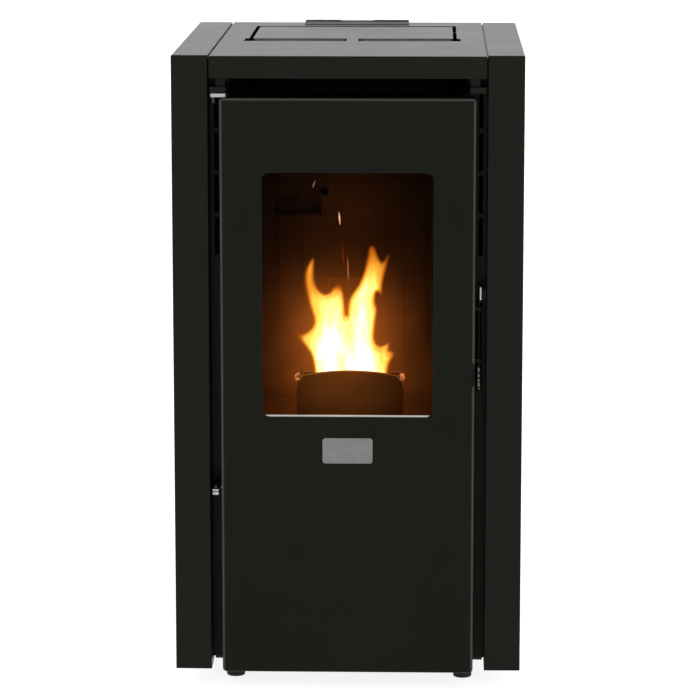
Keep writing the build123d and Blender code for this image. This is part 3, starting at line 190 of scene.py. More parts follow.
# %% Patterns and masks
def rescale(tree, value, low, high, first=0.0, last=1.0, **settings):
    """Goes from first to last while the value goes from low to high, and no further."""
    ramp = node(tree, "ShaderNodeMapRange", From_Min=low, From_Max=high, To_Min=first, To_Max=last,
                **settings)
    feed(ramp, "Value", value)
    return ramp.outputs["Result"]


def mottle(tree, size, low, high, stretch=(1, 1, 1), detail=3.0, sharp=0.0):
    """A noise whose blotches are about size across, spread over the range from low to high."""
    blotch = node(tree, "ShaderNodeTexNoise", Scale=1 / size, Detail=detail)
    feed(blotch, "Vector", place(tree, stretch))
    return rescale(tree, blotch.outputs["Fac"], 0.3 + sharp, 0.7 - sharp, low, high)


def between(tree, factor, first, second):
    """A colour between two colours, each given as three numbers or as a socket."""
    mix = node(tree, "ShaderNodeMix", data_type="RGBA")
    for socket, colour in ((mix.inputs[6], first), (mix.inputs[7], second)):
        if isinstance(colour, tuple):
            socket.default_value = (*colour, 1)
        else:
            tree.links.new(colour, socket)
    feed(mix, "Factor", factor)
    return mix.outputs[2]


def along(tree, axis, which="Object"):
    """The piece's own x, y or z in metres, for an axis of 0, 1 or 2, or that part of its normal."""
    where = node(tree, "ShaderNodeTexCoord")
    split = node(tree, "ShaderNodeSeparateXYZ")
    feed(split, "Vector", where.outputs[which])
    return split.outputs[axis]


def above(tree, none, full, axis=2):
    """0 at the place none and 1 at the place full along an axis, and a ramp between them."""
    return rescale(tree, along(tree, axis), none, full)


def sum_of(tree, first, second, operation="ADD"):
    """Two values put together by a math node."""
    maths = node(tree, "ShaderNodeMath", operation=operation)
    for socket, value in zip(maths.inputs, (first, second)):
        if isinstance(value, (int, float)):
            socket.default_value = value
        else:
            tree.links.new(value, socket)
    return maths.outputs["Value"]


def times(tree, first, second):
    """Two values multiplied."""
    return sum_of(tree, first, second, "MULTIPLY")


print("tools for patterns are ready")

# %% [markdown]
# A grain tilts the surface, and an edge mask finds where a finish wears. It compares the true normal with
# one that a Bevel node has rounded: the two differ only near an edge.

# %% Edges, grain and wear
def crystals(tree, size):
    """Cells about size across: two random tones for each, and the distance from its middle."""
    cell = node(tree, "ShaderNodeTexVoronoi", Scale=1 / size)
    feed(cell, "Vector", place(tree))
    tone = node(tree, "ShaderNodeSeparateColor")
    feed(tone, "Color", cell.outputs["Color"])
    return tone.outputs["Red"], tone.outputs["Green"], cell.outputs["Distance"]


def round_edges(tree, radius):
    """A normal that is rounded near edges, as a real sheet's cut edge is."""
    edge = node(tree, "ShaderNodeBevel", Radius=radius, samples=4)
    return edge.outputs["Normal"]


def edge_mask(tree, rounded):
    """1 where the rounded normal leaves the true one, 0 on open faces."""
    true = node(tree, "ShaderNodeNewGeometry")
    dot = node(tree, "ShaderNodeVectorMath", operation="DOT_PRODUCT")
    feed(dot, 0, rounded)
    feed(dot, 1, true.outputs["Normal"])
    return rescale(tree, dot.outputs["Value"], 0.995, 0.85)


def grain(tree, shader, height, depth, normal=None):
    """Tilt the surface by a height between 0 and 1 that stands depth metres tall."""
    bump = node(tree, "ShaderNodeBump", Strength=1.0, Distance=depth)
    feed(bump, "Height", height)
    if normal is not None:
        feed(bump, "Normal", normal)
    feed(shader, "Normal", bump.outputs["Normal"])


def paint(tree, shader, factor, first, second):
    """The shader's colour, between two colours."""
    feed(shader, "Base Color", between(tree, factor, first, second))


def roughen(tree, shader, size, low, high, stretch=(1, 1, 1)):
    """The shader's roughness, in blotches between low and high."""
    feed(shader, "Roughness", mottle(tree, size, low, high, stretch=stretch))


def wear(tree, shader, light, dark, blotch, mask, worn, amount):
    """Colour: a mottle between dark and light, and worn edges where the mask says."""
    base = between(tree, mottle(tree, blotch, 0, 1), dark, light)
    patchy = times(tree, mask, mottle(tree, blotch / 6, 0, amount))
    paint(tree, shader, patchy, base, worn)


def repaint(tree, shader, mask, colour):
    """Another colour over the one that the shader has, where the mask is 1."""
    whole = shader.inputs["Base Color"].links[0].from_socket
    paint(tree, shader, mask, whole, colour)


print("tools for edges and wear are ready")

# %% [markdown]
# ## Floor finish
#
# Seamless paper: nearly white and quite matt, with the faintest cloudiness so that it isn't a dead tone.

# %% Floor finish
paper, tree, shader = new_finish("studio_paper", (FLOOR_TONE,) * 3, 0.9, specular=0.1)
shader.inputs["Emission Color"].default_value = (1, 1, 1, 1)
shader.inputs["Emission Strength"].default_value = FLOOR_GLOW
paint(tree, shader, mottle(tree, 1.5, 0, 1), (FLOOR_TONE - 0.01,) * 3, (FLOOR_TONE,) * 3)
floor.data.materials.append(paper)
print("floor tone", FLOOR_TONE)

# %% [markdown]
# ## Powder coat
#
# The casings, the lid and the door are sheet steel with a baked black powder coat. Powder melts into a
# skin with a fine pimpled texture, less than a tenth of a millimetre high, that breaks up what it mirrors.
# The coat is almost black with a touch of green in it, it mirrors little when it is looked at square, and
# a lot at a low angle. Edges are a little thinner and paler. Along each outer fold of the door runs a fine
# light line, a painted highlight, that stops at the finger dish. The same recipe with other numbers
# gives the plainer coat of the back and the base, which is flatter and greyer.

# %% Powder coat
FOLD_START = 0.1630
FOLD_TOP = 0.7912
FOLD_RAMP = 0.0025
DISH_LOW = 0.413
DISH_TOP = 0.449
DISH_RAMP = 0.005
FOLD_HIGHLIGHT = (0.060, 0.063, 0.055)
COAT_WORN = (0.020, 0.021, 0.018)
COAT_ROUGHNESS = 0.305


def facing_front(tree):
    """1 on a face that looks straight to the piece's own front, and 0 on one that looks to its side."""
    held = node(tree, "ShaderNodeClamp")
    feed(held, "Value", times(tree, along(tree, 1, "Normal"), -1.0))
    return held.outputs["Result"]


def door_fold_highlight(tree):
    """Mask of the painted highlight: 1 on the front of each outer fold of the door, and 0 in the finger dish."""
    left = above(tree, -FOLD_START, -FOLD_START - FOLD_RAMP, axis=0)
    right = above(tree, FOLD_START, FOLD_START + FOLD_RAMP, axis=0)
    dish = times(tree, above(tree, DISH_LOW, DISH_LOW + DISH_RAMP), above(tree, DISH_TOP, DISH_TOP - DISH_RAMP))
    right = times(tree, right, sum_of(tree, 1.0, dish, "SUBTRACT"))
    upper = above(tree, FOLD_TOP, FOLD_TOP + FOLD_RAMP)
    fold_highlight = sum_of(tree, sum_of(tree, left, right, "MAXIMUM"), upper, "MAXIMUM")
    return times(tree, fold_highlight, facing_front(tree))


def powder_coat(name, dark, light, worn, roughness, specular, pimple=0.0007, rounding=0.0006, fold_highlight=None):
    """Baked powder coat on sheet steel with rounded edges, and a painted highlight on the door's outer fold
    edges when a mask for it is given.
    """
    material, tree, shader = new_finish(name, light, roughness, specular=specular)
    rounded = round_edges(tree, rounding)
    mask = edge_mask(tree, rounded)
    wear(tree, shader, light, dark, 0.09, mask, worn, 0.5)
    if fold_highlight is not None:
        # Painted highlight: a fine light line on the door's outer fold edges.
        repaint(tree, shader, times(tree, fold_highlight(tree), mottle(tree, 0.12, 0.75, 1.0)), FOLD_HIGHLIGHT)
    roughen(tree, shader, 0.06, roughness - 0.012, roughness + 0.012)
    grain(tree, shader, mottle(tree, pimple, 0, 1, detail=1.0), 0.00003, rounded)
    return material


coat = powder_coat("black_powder_coat", (0.0040, 0.0048, 0.0028), (0.0048, 0.0057, 0.0034),
                   COAT_WORN, COAT_ROUGHNESS, 0.083)
highlighted_door_coat = powder_coat("door_coat_painted_highlight", (0.0038, 0.0046, 0.0026), (0.0046, 0.0055, 0.0032),
                          COAT_WORN, COAT_ROUGHNESS, 0.066, rounding=0.0025, fold_highlight=door_fold_highlight)
rear_coat = powder_coat("grey_powder_coat", (0.010, 0.010, 0.010), (0.014, 0.014, 0.014),
                        (0.05, 0.05, 0.05), 0.5, 0.2)
print("powder coats:", coat.name, highlighted_door_coat.name, rear_coat.name)

# %% [markdown]
# ## Bright metal
#
# Zinc plating on the hinge and latch is pale, slightly blue and cloudy. Galvanised sheet, inside the
# stove, shows the larger grey crystals called spangle, which a Voronoi texture draws well: each cell gets
# its own tone.

# %% Zinc
def zinc_plate(name, bright=1.0):
    """Zinc plating on small turned and pressed steel, dulled where bright is less than 1."""
    light, dark, worn = ((tone * bright,) * 3 for tone in (0.42, 0.26, 0.60))
    material, tree, shader = new_finish(name, light, 0.3, metallic=1.0)
    rounded = round_edges(tree, 0.0004)
    wear(tree, shader, light, dark, 0.006, edge_mask(tree, rounded), worn, 0.9)
    roughen(tree, shader, 0.004, 0.22, 0.42)
    grain(tree, shader, mottle(tree, 0.0008, 0, 1), 0.00002, rounded)
    return material


def galvanised_sheet(name):
    """Hot dipped sheet with its spangle."""
    material, tree, shader = new_finish(name, (0.5, 0.51, 0.52), 0.4, metallic=1.0)
    rounded = round_edges(tree, 0.0006)
    red, green, apart = crystals(tree, 0.009)
    crystal = between(tree, red, (0.40, 0.41, 0.42), (0.60, 0.61, 0.62))
    dusty = between(tree, mottle(tree, 0.05, 0, 0.5), crystal, (0.30, 0.29, 0.27))
    paint(tree, shader, times(tree, edge_mask(tree, rounded), 0.7), dusty, (0.75, 0.76, 0.77))
    feed(shader, "Roughness", rescale(tree, green, 0.0, 1.0, 0.32, 0.52))
    grain(tree, shader, mottle(tree, 0.003, 0, 1), 0.00002, rounded)
    return material


zinc = zinc_plate("zinc_plating")
dull_zinc = zinc_plate("dull_zinc", 0.12)
black_zinc = zinc_plate("black_zinc", 0.04)
galvanised = galvanised_sheet("spangled_sheet")
print("zinc:", zinc.name, dull_zinc.name, black_zinc.name, galvanised.name)

# %% [markdown]
# The name plate and the trim under the glass are stainless steel brushed one way, so their grain is a noise
# stretched a hundred times along one axis. The latch rod is blackened, and ground to bright metal on its
# tongue; that bright patch is kept to the tongue's right side as a painted highlight.

# %% Brushed and blackened steel
TONGUE_LOW, TONGUE_HIGH, TONGUE_GLINT_SIDE = 0.527, 0.5435, 0.1737
TRIM_SHADE_HEIGHT = 0.3767


def brushed_steel(name, dark, light, axis, roughness, sooty=10.0):
    """Stainless steel brushed along one axis, given as 0, 1 or 2, and painted black above a height as a shade
    line.
    """
    material, tree, shader = new_finish(name, light, roughness, metallic=1.0)
    rounded = round_edges(tree, 0.0004)
    stretch = [1.0, 1.0, 1.0]
    stretch[axis] = 0.01
    hair = mottle(tree, 0.0006, 0, 1, stretch=tuple(stretch), detail=4.0)
    wide = mottle(tree, 0.02, 0, 1)
    mixed = sum_of(tree, times(tree, hair, 0.5), times(tree, wide, 0.5))
    base = between(tree, mixed, dark, light)
    edged = between(tree, edge_mask(tree, rounded), base, tuple(1.3 * tone for tone in light))
    # Painted shade: the steel is black above a height, a dark shade line.
    paint(tree, shader, above(tree, sooty, sooty + 0.0006), edged, (0.010, 0.009, 0.007))
    roughen(tree, shader, 0.0006, roughness - 0.08, roughness + 0.08, stretch=tuple(stretch))
    grain(tree, shader, hair, 0.000008, rounded)
    return material


def bright_ended(name, low, high, side):
    """Blackened steel, ground to bright metal between two heights on its tongue and only right of side, which
    makes the bright patch a painted highlight.
    """
    material, tree, shader = new_finish(name, (0.012, 0.012, 0.012), 0.4, metallic=1.0)
    rounded = round_edges(tree, 0.0004)
    bare_and_glint = times(tree, above(tree, low, low + 0.0008), above(tree, high + 0.0008, high))
    # Painted highlight: the bright patch is kept right of side.
    bare_and_glint = times(tree, bare_and_glint, above(tree, side - 0.0004, side, axis=0))
    black = between(tree, mottle(tree, 0.01, 0, 1), (0.008, 0.008, 0.008), (0.016, 0.016, 0.015))
    paint(tree, shader, bare_and_glint, black, (0.42, 0.41, 0.40))
    roughen(tree, shader, 0.004, 0.3, 0.45)
    grain(tree, shader, mottle(tree, 0.0008, 0, 1), 0.00002, rounded)
    return material


rod_finish = bright_ended("latch_rod_steel", TONGUE_LOW, TONGUE_HIGH, TONGUE_GLINT_SIDE)
plate_steel = brushed_steel("brushed_plate", (0.130, 0.135, 0.129), (0.190, 0.196, 0.187), 0, 0.38)
trim_steel = brushed_steel("brushed_trim", (0.34, 0.31, 0.30), (0.45, 0.41, 0.395), 0, 0.3, sooty=TRIM_SHADE_HEIGHT)
print("steels:", rod_finish.name, plate_steel.name, trim_steel.name)

# %% [markdown]
# ## Glass
#
# The window is a four millimetre sheet of glass ceramic, which stands the heat of the fire and is faintly
# amber. It is a Principled shader with full transmission that bends light only a little, so the fire is
# seen where it is. A mirror image of the white room would hide the fire, and a photographer keeps it out
# with black flags, so here the specular level is zero. The control panel's cover is a dark acrylic strip.

# %% Glass
def window_glass(name):
    """Amber glass ceramic, a little uneven in its tint."""
    material, tree, shader = new_finish(name, (0.62, 0.50, 0.36), 0.02, specular=0.0)
    shader.inputs["Transmission Weight"].default_value = 1.0
    shader.inputs["IOR"].default_value = 1.05
    paint(tree, shader, mottle(tree, 0.12, 0, 1), (0.60, 0.48, 0.34), (0.64, 0.53, 0.39))
    return material


def dark_acrylic(name):
    """Satin black cover of the control panel."""
    material, tree, shader = new_finish(name, (0.004, 0.004, 0.0045), 0.5, specular=0.02)
    rounded = round_edges(tree, 0.0003)
    paint(tree, shader, mottle(tree, 0.03, 0, 1), (0.003, 0.003, 0.0035), (0.006, 0.006, 0.007))
    roughen(tree, shader, 0.012, 0.44, 0.56)
    grain(tree, shader, mottle(tree, 0.01, 0, 1), 0.000005, rounded)
    return material


glass = window_glass("glass_ceramic")
panel_glass = dark_acrylic("dark_acrylic")
print("glass:", glass.name, panel_glass.name)

# %% [markdown]
# ## Plastic and rubber
#
# The control panel's frame, the inlet and the covers of the electronics are moulded plastic with a fine
# spark-eroded texture. The panel's frame is grey at its front slope and black round its glass. The buttons
# are rubber, the lid seal is grey silicone, and the feet are black plastic with dusty edges. One recipe
# with other numbers serves them all.

# %% Plastic and rubber
def moulded(name, dark, light, roughness, specular=0.35, worn=(0.08, 0.08, 0.08)):
    """Moulded plastic with an eroded texture."""
    material, tree, shader = new_finish(name, light, roughness, specular=specular)
    rounded = round_edges(tree, 0.0005)
    wear(tree, shader, light, dark, 0.03, edge_mask(tree, rounded), worn, 0.5)
    roughen(tree, shader, 0.01, roughness - 0.06, roughness + 0.06)
    grain(tree, shader, mottle(tree, 0.0006, 0, 1, detail=1.0), 0.00003, rounded)
    return material


PANEL_RIM_Y = 0.2352
panel_plastic = moulded("panel_moulding", (0.095, 0.097, 0.095), (0.120, 0.122, 0.120), 0.5, specular=0.02)
panel_tree = panel_plastic.node_tree
repaint(panel_tree, panel_tree.nodes["Principled BSDF"],
        above(panel_tree, PANEL_RIM_Y, PANEL_RIM_Y + 0.001, axis=1), (0.003, 0.003, 0.003))
button_rubber = moulded("button_rubber", (0.030, 0.031, 0.033), (0.045, 0.046, 0.048), 0.55,
                        worn=(0.12, 0.12, 0.12))
silicone = moulded("grey_silicone", (0.110, 0.114, 0.110), (0.160, 0.164, 0.158), 0.8, specular=0.05,
                   worn=(0.20, 0.20, 0.20))
moulding = moulded("black_moulding", (0.010, 0.010, 0.011), (0.018, 0.018, 0.019), 0.5)
feet_rubber = moulded("foot_rubber", (0.008, 0.008, 0.008), (0.016, 0.016, 0.015), 0.65, specular=0.2,
                      worn=(0.06, 0.058, 0.055))
print("plastics:", panel_plastic.name, button_rubber.name, silicone.name, moulding.name, feet_rubber.name)

# %% [markdown]
# ## Display
#
# A small dot display behind the dark cover. Rows and columns of lit dots would only be noise at this
# size, so the finish glows a soft green in short bars, like the level bars of a thermostat.

# %% Display
def display(name):
    """Dark screen with two rows of softly glowing bars."""
    material, tree, shader = new_finish(name, (0.004, 0.008, 0.006), 0.2, specular=0.3)
    bars = node(tree, "ShaderNodeTexBrick", Scale=1 / 0.004, offset=0.0, squash=1.0)
    bars.inputs["Color1"].default_value = (0.05, 0.6, 0.35, 1)
    bars.inputs["Color2"].default_value = (0.03, 0.35, 0.2, 1)
    bars.inputs["Mortar"].default_value = (0, 0, 0, 1)
    bars.inputs["Mortar Size"].default_value = 0.3
    bars.inputs["Brick Width"].default_value = 1.0
    bars.inputs["Row Height"].default_value = 1.2
    feed(bars, "Vector", place(tree))
    feed(shader, "Emission Color", bars.outputs["Color"])
    shader.inputs["Emission Strength"].default_value = 0.12
    return material


screen = display("dot_display")
print("display:", screen.name)

# %% [markdown]
# ## The glow of the firebox
#
# Hot smoke and fine ash fill the firebox and catch the light of the flames, so a fire behind glass sits in a
# soft brown glow that hides ribs and corners. A cloud would need a volume, which few viewers can show, so
# the glow is laid over the walls instead: each surface near the fire gives off a little light of its own,
# by its distance from the fire. Three bell curves add up to it, one round the flames, a faint one above
# them and a low wide one at the hearth.

# %% Glow of the firebox
GLOW_COLOUR = (1.0, 0.27, 0.042)
FIRELIGHT = [
    (-0.012, 0.433, 0.066, 0.074, 0.74),
    (-0.004, 0.610, 0.060, 0.050, 0.026),
    (0.000, 0.372, 0.130, 0.034, 0.080),
]


def firelight(tree, shader, share):
    """Light of its own for a surface near the fire, by its x and z; share scales it."""
    total = 0.0
    for middle_x, middle_z, reach_x, reach_z, strength in FIRELIGHT:
        aside = sum_of(tree, sum_of(tree, along(tree, 0), middle_x, "SUBTRACT"), reach_x, "DIVIDE")
        upward = sum_of(tree, sum_of(tree, along(tree, 2), middle_z, "SUBTRACT"), reach_z, "DIVIDE")
        away = sum_of(tree, times(tree, aside, aside), times(tree, upward, upward))
        bell = sum_of(tree, math.e, times(tree, away, -1.0), "POWER")
        total = sum_of(tree, times(tree, bell, strength * share), total)
    cloudy = times(tree, total, mottle(tree, 0.06, 0.88, 1.12))
    shader.inputs["Emission Color"].default_value = (*GLOW_COLOUR, 1)
    feed(shader, "Emission Strength", cloudy)
    return cloudy


print("bell curves in the glow:", len(FIRELIGHT))

# %% [markdown]
# ## Steel, iron and board round the fire
#
# Three surfaces see the fire. The firebox is steel plate that heat has turned brown and grey, the burn
# pot and the ribbed fire back are cast iron with a coarse skin, and the side liners are pressed
# vermiculite board, a pale flaky board that soot darkens. All are matt and brown with soot, so the
# light of the fire comes back from them as a deep orange.

# %% Steel and board by the fire
def fired_steel(name, share=1.0):
    """Steel plate browned by heat and dusted with ash, with its share of the fire's glow."""
    material, tree, shader = new_finish(name, (0.05, 0.04, 0.03), 0.7, specular=0.1)
    rounded = round_edges(tree, 0.0008)
    scale = between(tree, mottle(tree, 0.05, 0, 1, sharp=0.05), (0.014, 0.0055, 0.002), (0.030, 0.012, 0.004))
    ash = between(tree, mottle(tree, 0.012, 0, 0.35, sharp=0.12), scale, (0.05, 0.025, 0.011))
    paint(tree, shader, times(tree, edge_mask(tree, rounded), 0.4), ash, (0.030, 0.015, 0.006))
    roughen(tree, shader, 0.02, 0.6, 0.85)
    grain(tree, shader, mottle(tree, 0.0025, 0, 1), 0.00015, rounded)
    if share > 0:
        firelight(tree, shader, share)
    return material


def vermiculite(name):
    """Pressed flaky board, pale under its soot."""
    material, tree, shader = new_finish(name, (0.08, 0.05, 0.03), 0.95, specular=0.05)
    red, green, apart = crystals(tree, 0.0022)
    board = between(tree, red, (0.030, 0.011, 0.0035), (0.055, 0.022, 0.0075))
    paint(tree, shader, mottle(tree, 0.07, 0.1, 0.9), board, (0.015, 0.0055, 0.002))
    roughen(tree, shader, 0.01, 0.85, 1.0)
    grain(tree, shader, apart, 0.0004)
    firelight(tree, shader, 1.0)
    return material


fire_steel = fired_steel("fired_steel")
duct_steel = fired_steel("duct_steel", share=0.0)
liner = vermiculite("vermiculite_board")
print("fireside finishes:", fire_steel.name, duct_steel.name, liner.name)

# %% [markdown]
# The fire back and the pot share a recipe. The pot stands in the fire, so its two lugs are red hot, and its
# upper rim carries a painted highlight that glows orange.

# %% Cast iron
POT_SHARE = 0.24
LUG_SIDE = 0.068


def cast_iron(name, hot=False):
    """Sand cast iron with soot in its hollows. A hot pot glows at its two lugs, and along its upper rim as a
    painted highlight.
    """
    material, tree, shader = new_finish(name, (0.04, 0.03, 0.02), 0.8, specular=0.1)
    rounded = round_edges(tree, 0.0012)
    soot = between(tree, mottle(tree, 0.03, 0, 1), (0.010, 0.004, 0.0015), (0.024, 0.010, 0.0032))
    paint(tree, shader, times(tree, edge_mask(tree, rounded), 0.6), soot, (0.026, 0.012, 0.0045))
    roughen(tree, shader, 0.01, 0.65, 0.9)
    grain(tree, shader, mottle(tree, 0.0014, 0, 1), 0.00025, rounded)
    glow = firelight(tree, shader, POT_SHARE if hot else 1.0)
    if hot:
        # Painted highlight: the edges of the upper rim glow.
        rim = times(tree, edge_mask(tree, rounded), above(tree, 0.390, 0.396))
        aside = sum_of(tree, along(tree, 0), 0.0, "ABSOLUTE")
        lug = times(tree, sum_of(tree, aside, LUG_SIDE, "GREATER_THAN"), above(tree, 0.4005, 0.4030))
        spotted = times(tree, lug, mottle(tree, 0.004, 0.1, 1.3, sharp=0.05))
        hue = between(tree, lug, (1.0, 0.32, 0.055), (1.0, 0.36, 0.15))
        feed(shader, "Emission Color", hue)
        bright = sum_of(tree, times(tree, rim, 1.1), spotted)
        feed(shader, "Emission Strength", sum_of(tree, bright, glow))
    return material


fire_cast = cast_iron("sooty_iron")
hot_pot = cast_iron("hot_iron", hot=True)
print("cast iron:", fire_cast.name, hot_pot.name)

# %% [markdown]
# ## Motors, flue pipe and rope
#
# Fan and feed motors have grey painted cans. The flue pipe is steel with a matt black stove enamel. The
# glass gasket and the door rope are braided glass fibre, grey and rough. The rope itself is built further
# down, and only its fibre finish is made here.

# %% Motors, flue pipe and rope
def rope_fibre(name):
    """Braided glass fibre, greyed by smoke."""
    material, tree, shader = new_finish(name, (0.2, 0.19, 0.17), 0.95, specular=0.1)
    shader.inputs["Sheen Weight"].default_value = 0.3
    paint(tree, shader, mottle(tree, 0.02, 0, 1), (0.09, 0.085, 0.075), (0.20, 0.19, 0.17))
    roughen(tree, shader, 0.004, 0.85, 1.0)
    grain(tree, shader, mottle(tree, 0.0008, 0, 1, stretch=(1, 1, 0.4)), 0.0002)
    return material


motor = moulded("motor_paint", (0.10, 0.10, 0.105), (0.16, 0.16, 0.165), 0.45, specular=0.4,
                worn=(0.4, 0.4, 0.4))
pipe = powder_coat("stove_enamel", (0.010, 0.010, 0.010), (0.016, 0.016, 0.015),
                   (0.06, 0.06, 0.06), 0.6, 0.15, pimple=0.001)
rope = rope_fibre("glass_fibre")
print("motor, pipe and rope finishes are ready")

# %% [markdown]
# ## Dress the pieces
#
# Each ready-made piece carries the name of the finish that its drawing asks for. A short table turns that
# name into a material made above, a second one names the pieces that differ, and one loop puts them on.

# %% Dress the pieces
FINISHES = {
    "coat": coat, "rear_coat": rear_coat, "zinc": zinc, "plate_steel": plate_steel, "trim": trim_steel,
    "glass": glass, "panel_glass": panel_glass, "panel_plastic": panel_plastic, "screen": screen,
    "button": button_rubber, "rope": rope, "silicone": silicone, "fire_steel": fire_steel,
    "fire_cast": fire_cast, "liner": liner, "galvanised": galvanised, "motor": motor, "pipe": pipe,
    "moulding": moulding, "feet": feet_rubber,
}

OWN_FINISH = {
    "chute": fire_steel, "smoke_channel": duct_steel, "hot_air_duct": duct_steel, "door_panel": highlighted_door_coat,
    "hinge_pins": dull_zinc, "lid_hinge_pins": black_zinc, "latch_rod": rod_finish, "burn_pot": hot_pot,
}

dressed = 0
for name in nodes:
    for seat in bpy.data.objects[name].material_slots:
        wanted = seat.material.name.split(".")[0]
        if wanted in FINISHES:
            seat.material = OWN_FINISH.get(name, FINISHES[wanted])
            dressed += 1
print("pieces dressed:", dressed)

# %% [markdown]
# ## The fire
#
# A flame has no surface: it is glowing gas that is bright in its middle and fades out at its rim. Its shape
# is drawn here once, as a closed line seen from the front, in millimetres from the middle of the stove and
# from the floor. Everything else follows from one number, the distance from a point to that line: gas deep
# inside is hot, it cools towards the line, and a little beyond the line there is none.

# %% Outline of the fire
FIRE_Y = -0.126
FIRE_LINE = [
    (-50, 386), (-50, 402), (-54, 425), (-62, 439), (-78, 460), (-66, 456), (-55, 464), (-51, 474), (-54, 487),
    (-60, 507), (-64, 532), (-60, 550), (-50, 561), (-49, 537), (-46, 522), (-38, 512), (-30, 513), (-25, 522),
    (-14, 527), (-9, 512), (-6, 482), (-5, 494), (-2, 507), (9, 523), (17, 542), (21, 562), (24, 577), (33, 577),
    (42, 556), (52, 569), (50, 548), (45, 527), (43, 508), (36, 515), (34, 500), (37, 490), (35, 474), (33, 448),
    (40, 440), (54, 445), (53, 434), (61, 431), (56, 420), (52, 408), (50, 386),
]


def smooth_point(points, t):
    """The point at t, from 0 to 1, of a smooth curve through the points."""
    spans = len(points) - 1
    i = min(int(t * spans), spans - 1)
    f = t * spans - i
    p = [points[max(0, min(spans, k))] for k in (i - 1, i, i + 1, i + 2)]
    return tuple(
        0.5 * (2 * b + (c - a) * f + (2 * a - 5 * b + 4 * c - d) * f * f + (3 * b - a - 3 * c + d) * f ** 3)
        for a, b, c, d in zip(*p))


LINE_STEPS = 3 * (len(FIRE_LINE) - 1)
fire_line = [smooth_point(FIRE_LINE, k / LINE_STEPS) for k in range(LINE_STEPS + 1)]


def depth_inside(x, z):
    """Millimetres from a point to the fire's line, above 0 inside it and below 0 outside."""
    nearest = 1000.0
    inside = False
    for (x0, z0), (x1, z1) in zip(fire_line, fire_line[1:] + fire_line[:1]):
        run, rise = x1 - x0, z1 - z0
        t = ((x - x0) * run + (z - z0) * rise) / (run * run + rise * rise)
        t = min(1.0, max(0.0, t))
        nearest = min(nearest, math.hypot(x - x0 - t * run, z - z0 - t * rise))
        if (z0 > z) != (z1 > z) and x < x0 + run * (z - z0) / rise:
            inside = not inside
    return nearest if inside else -nearest


print("points in the fire's line:", len(fire_line))
print("its middle lies", round(depth_inside(-29, 440), 1), "mm deep")

# %% [markdown]
# The fire isn't equally hot all over. Two wide columns over the pellets burn white, the body round them is
# pale yellow, and the lobes that curl away from it are orange. Those places are a short list of soft round
# spots that add heat or take it away.

# %% Heat of the fire
RIM_FADE = 8.5
PLAIN_HEAT = 0.60
HOT_SPOTS = [
    (-29, 434, 21, 40, 0.42), (18, 428, 17, 34, 0.42), (-4, 404, 50, 16, 0.15), (15, 490, 12, 46, 0.16),
    (-22, 486, 12, 22, 0.10), (-58, 522, 12, 44, -0.24), (47, 540, 9, 32, -0.27), (28, 570, 16, 25, -0.33),
    (-74, 457, 14, 9, -0.20), (57, 436, 9, 9, -0.20), (-18, 522, 14, 9, -0.42), (46, 418, 12, 14, -0.15),
    (39, 470, 7, 40, -0.15), (-52, 440, 9, 30, -0.12),
]


def gas_heat(x, z, depth):
    """Heat of the gas, from 0 to a little over 1, at a point that lies so deep inside the line."""
    rim = min(1.0, max(0.0, (depth + 2.5) / RIM_FADE))
    heat = PLAIN_HEAT
    for middle_x, middle_z, reach_x, reach_z, extra in HOT_SPOTS:
        heat += extra * math.exp(-((x - middle_x) / reach_x) ** 2 - ((z - middle_z) / reach_z) ** 2)
    return rim * rim * (3 - 2 * rim) * max(0.1, heat)


print("heat in the left column:", round(gas_heat(-29, 440, depth_inside(-29, 440)), 2))

# %% [markdown]
# Few viewers can show a cloud, so the body of gas is cut into thin see-through sheets, like slices of
# bread. Six stand one behind the other and make the fire seen from the front. Seven stand across them and
# keep it thick when the view moves round to the side. Away from the middle of the pot the line is drawn
# tighter, so the outer slices are smaller. Each point of a sheet carries its heat as a number.

# %% Sheets of the fire
GRID = 2.5
SLICES = (-20, -12, -4, 4, 12, 20)
CROSSINGS = (-54, -38, -22, -6, 10, 26, 42)
HALF_DEPTH = 26
TIGHTER = 0.10
GRID_LEFT, GRID_COLUMNS = -85, 60
GRID_LOW, GRID_ROWS = 387, 77
CROSSING_STEP = 4
CROSSING_HEAT = 0.6

columns = [GRID_LEFT + GRID * k for k in range(GRID_COLUMNS)]
rows = [GRID_LOW + GRID * k for k in range(GRID_ROWS)]
depths = {(x, z): depth_inside(x, z) for x in columns for z in rows}

fire_points, fire_faces, fire_heats = [], [], []


def add_sheet(grid):
    """A sheet from rows of (x, y, z, heat) in millimetres, without the cells where there is no gas."""
    start = len(fire_points)
    wide = len(grid[0])
    for row in grid:
        for x, y, z, heat in row:
            fire_points.append((x / 1000, FIRE_Y + y / 1000, z / 1000))
            fire_heats.append(heat)
    for i in range(len(grid) - 1):
        for j in range(wide - 1):
            a = start + i * wide + j
            corners = (a, a + 1, a + wide + 1, a + wide)
            if max(fire_heats[corner] for corner in corners) > 0:
                fire_faces.append(corners)


for y in SLICES:
    add_sheet([[(x, y, z, gas_heat(x, z, depths[x, z] - TIGHTER * abs(y))) for x in columns] for z in rows])
for x in CROSSINGS:
    near = min(columns, key=lambda column: abs(column - x))
    add_sheet([[(x, y, z, CROSSING_HEAT * (1 - (y / HALF_DEPTH) ** 2)
                 * gas_heat(x, z, depths[near, z] - TIGHTER * abs(y)))
                for y in range(-HALF_DEPTH, HALF_DEPTH + 1, CROSSING_STEP)] for z in rows])

flames = make_mesh("flames", fire_points, fire_faces)
carry(flames, "hotness", fire_heats)
print("sheets:", len(SLICES) + len(CROSSINGS), "faces:", len(flames.data.polygons))

# %% [markdown]
# The colour of burning gas follows its heat: deep red at the rim, then orange, yellow, and a white that
# a camera can't hold in the middle. The heat of each point is wrinkled with a noise that is stretched
# upwards, as rising gas is, and looked up in a ramp. The same heat sets how opaque the gas is.

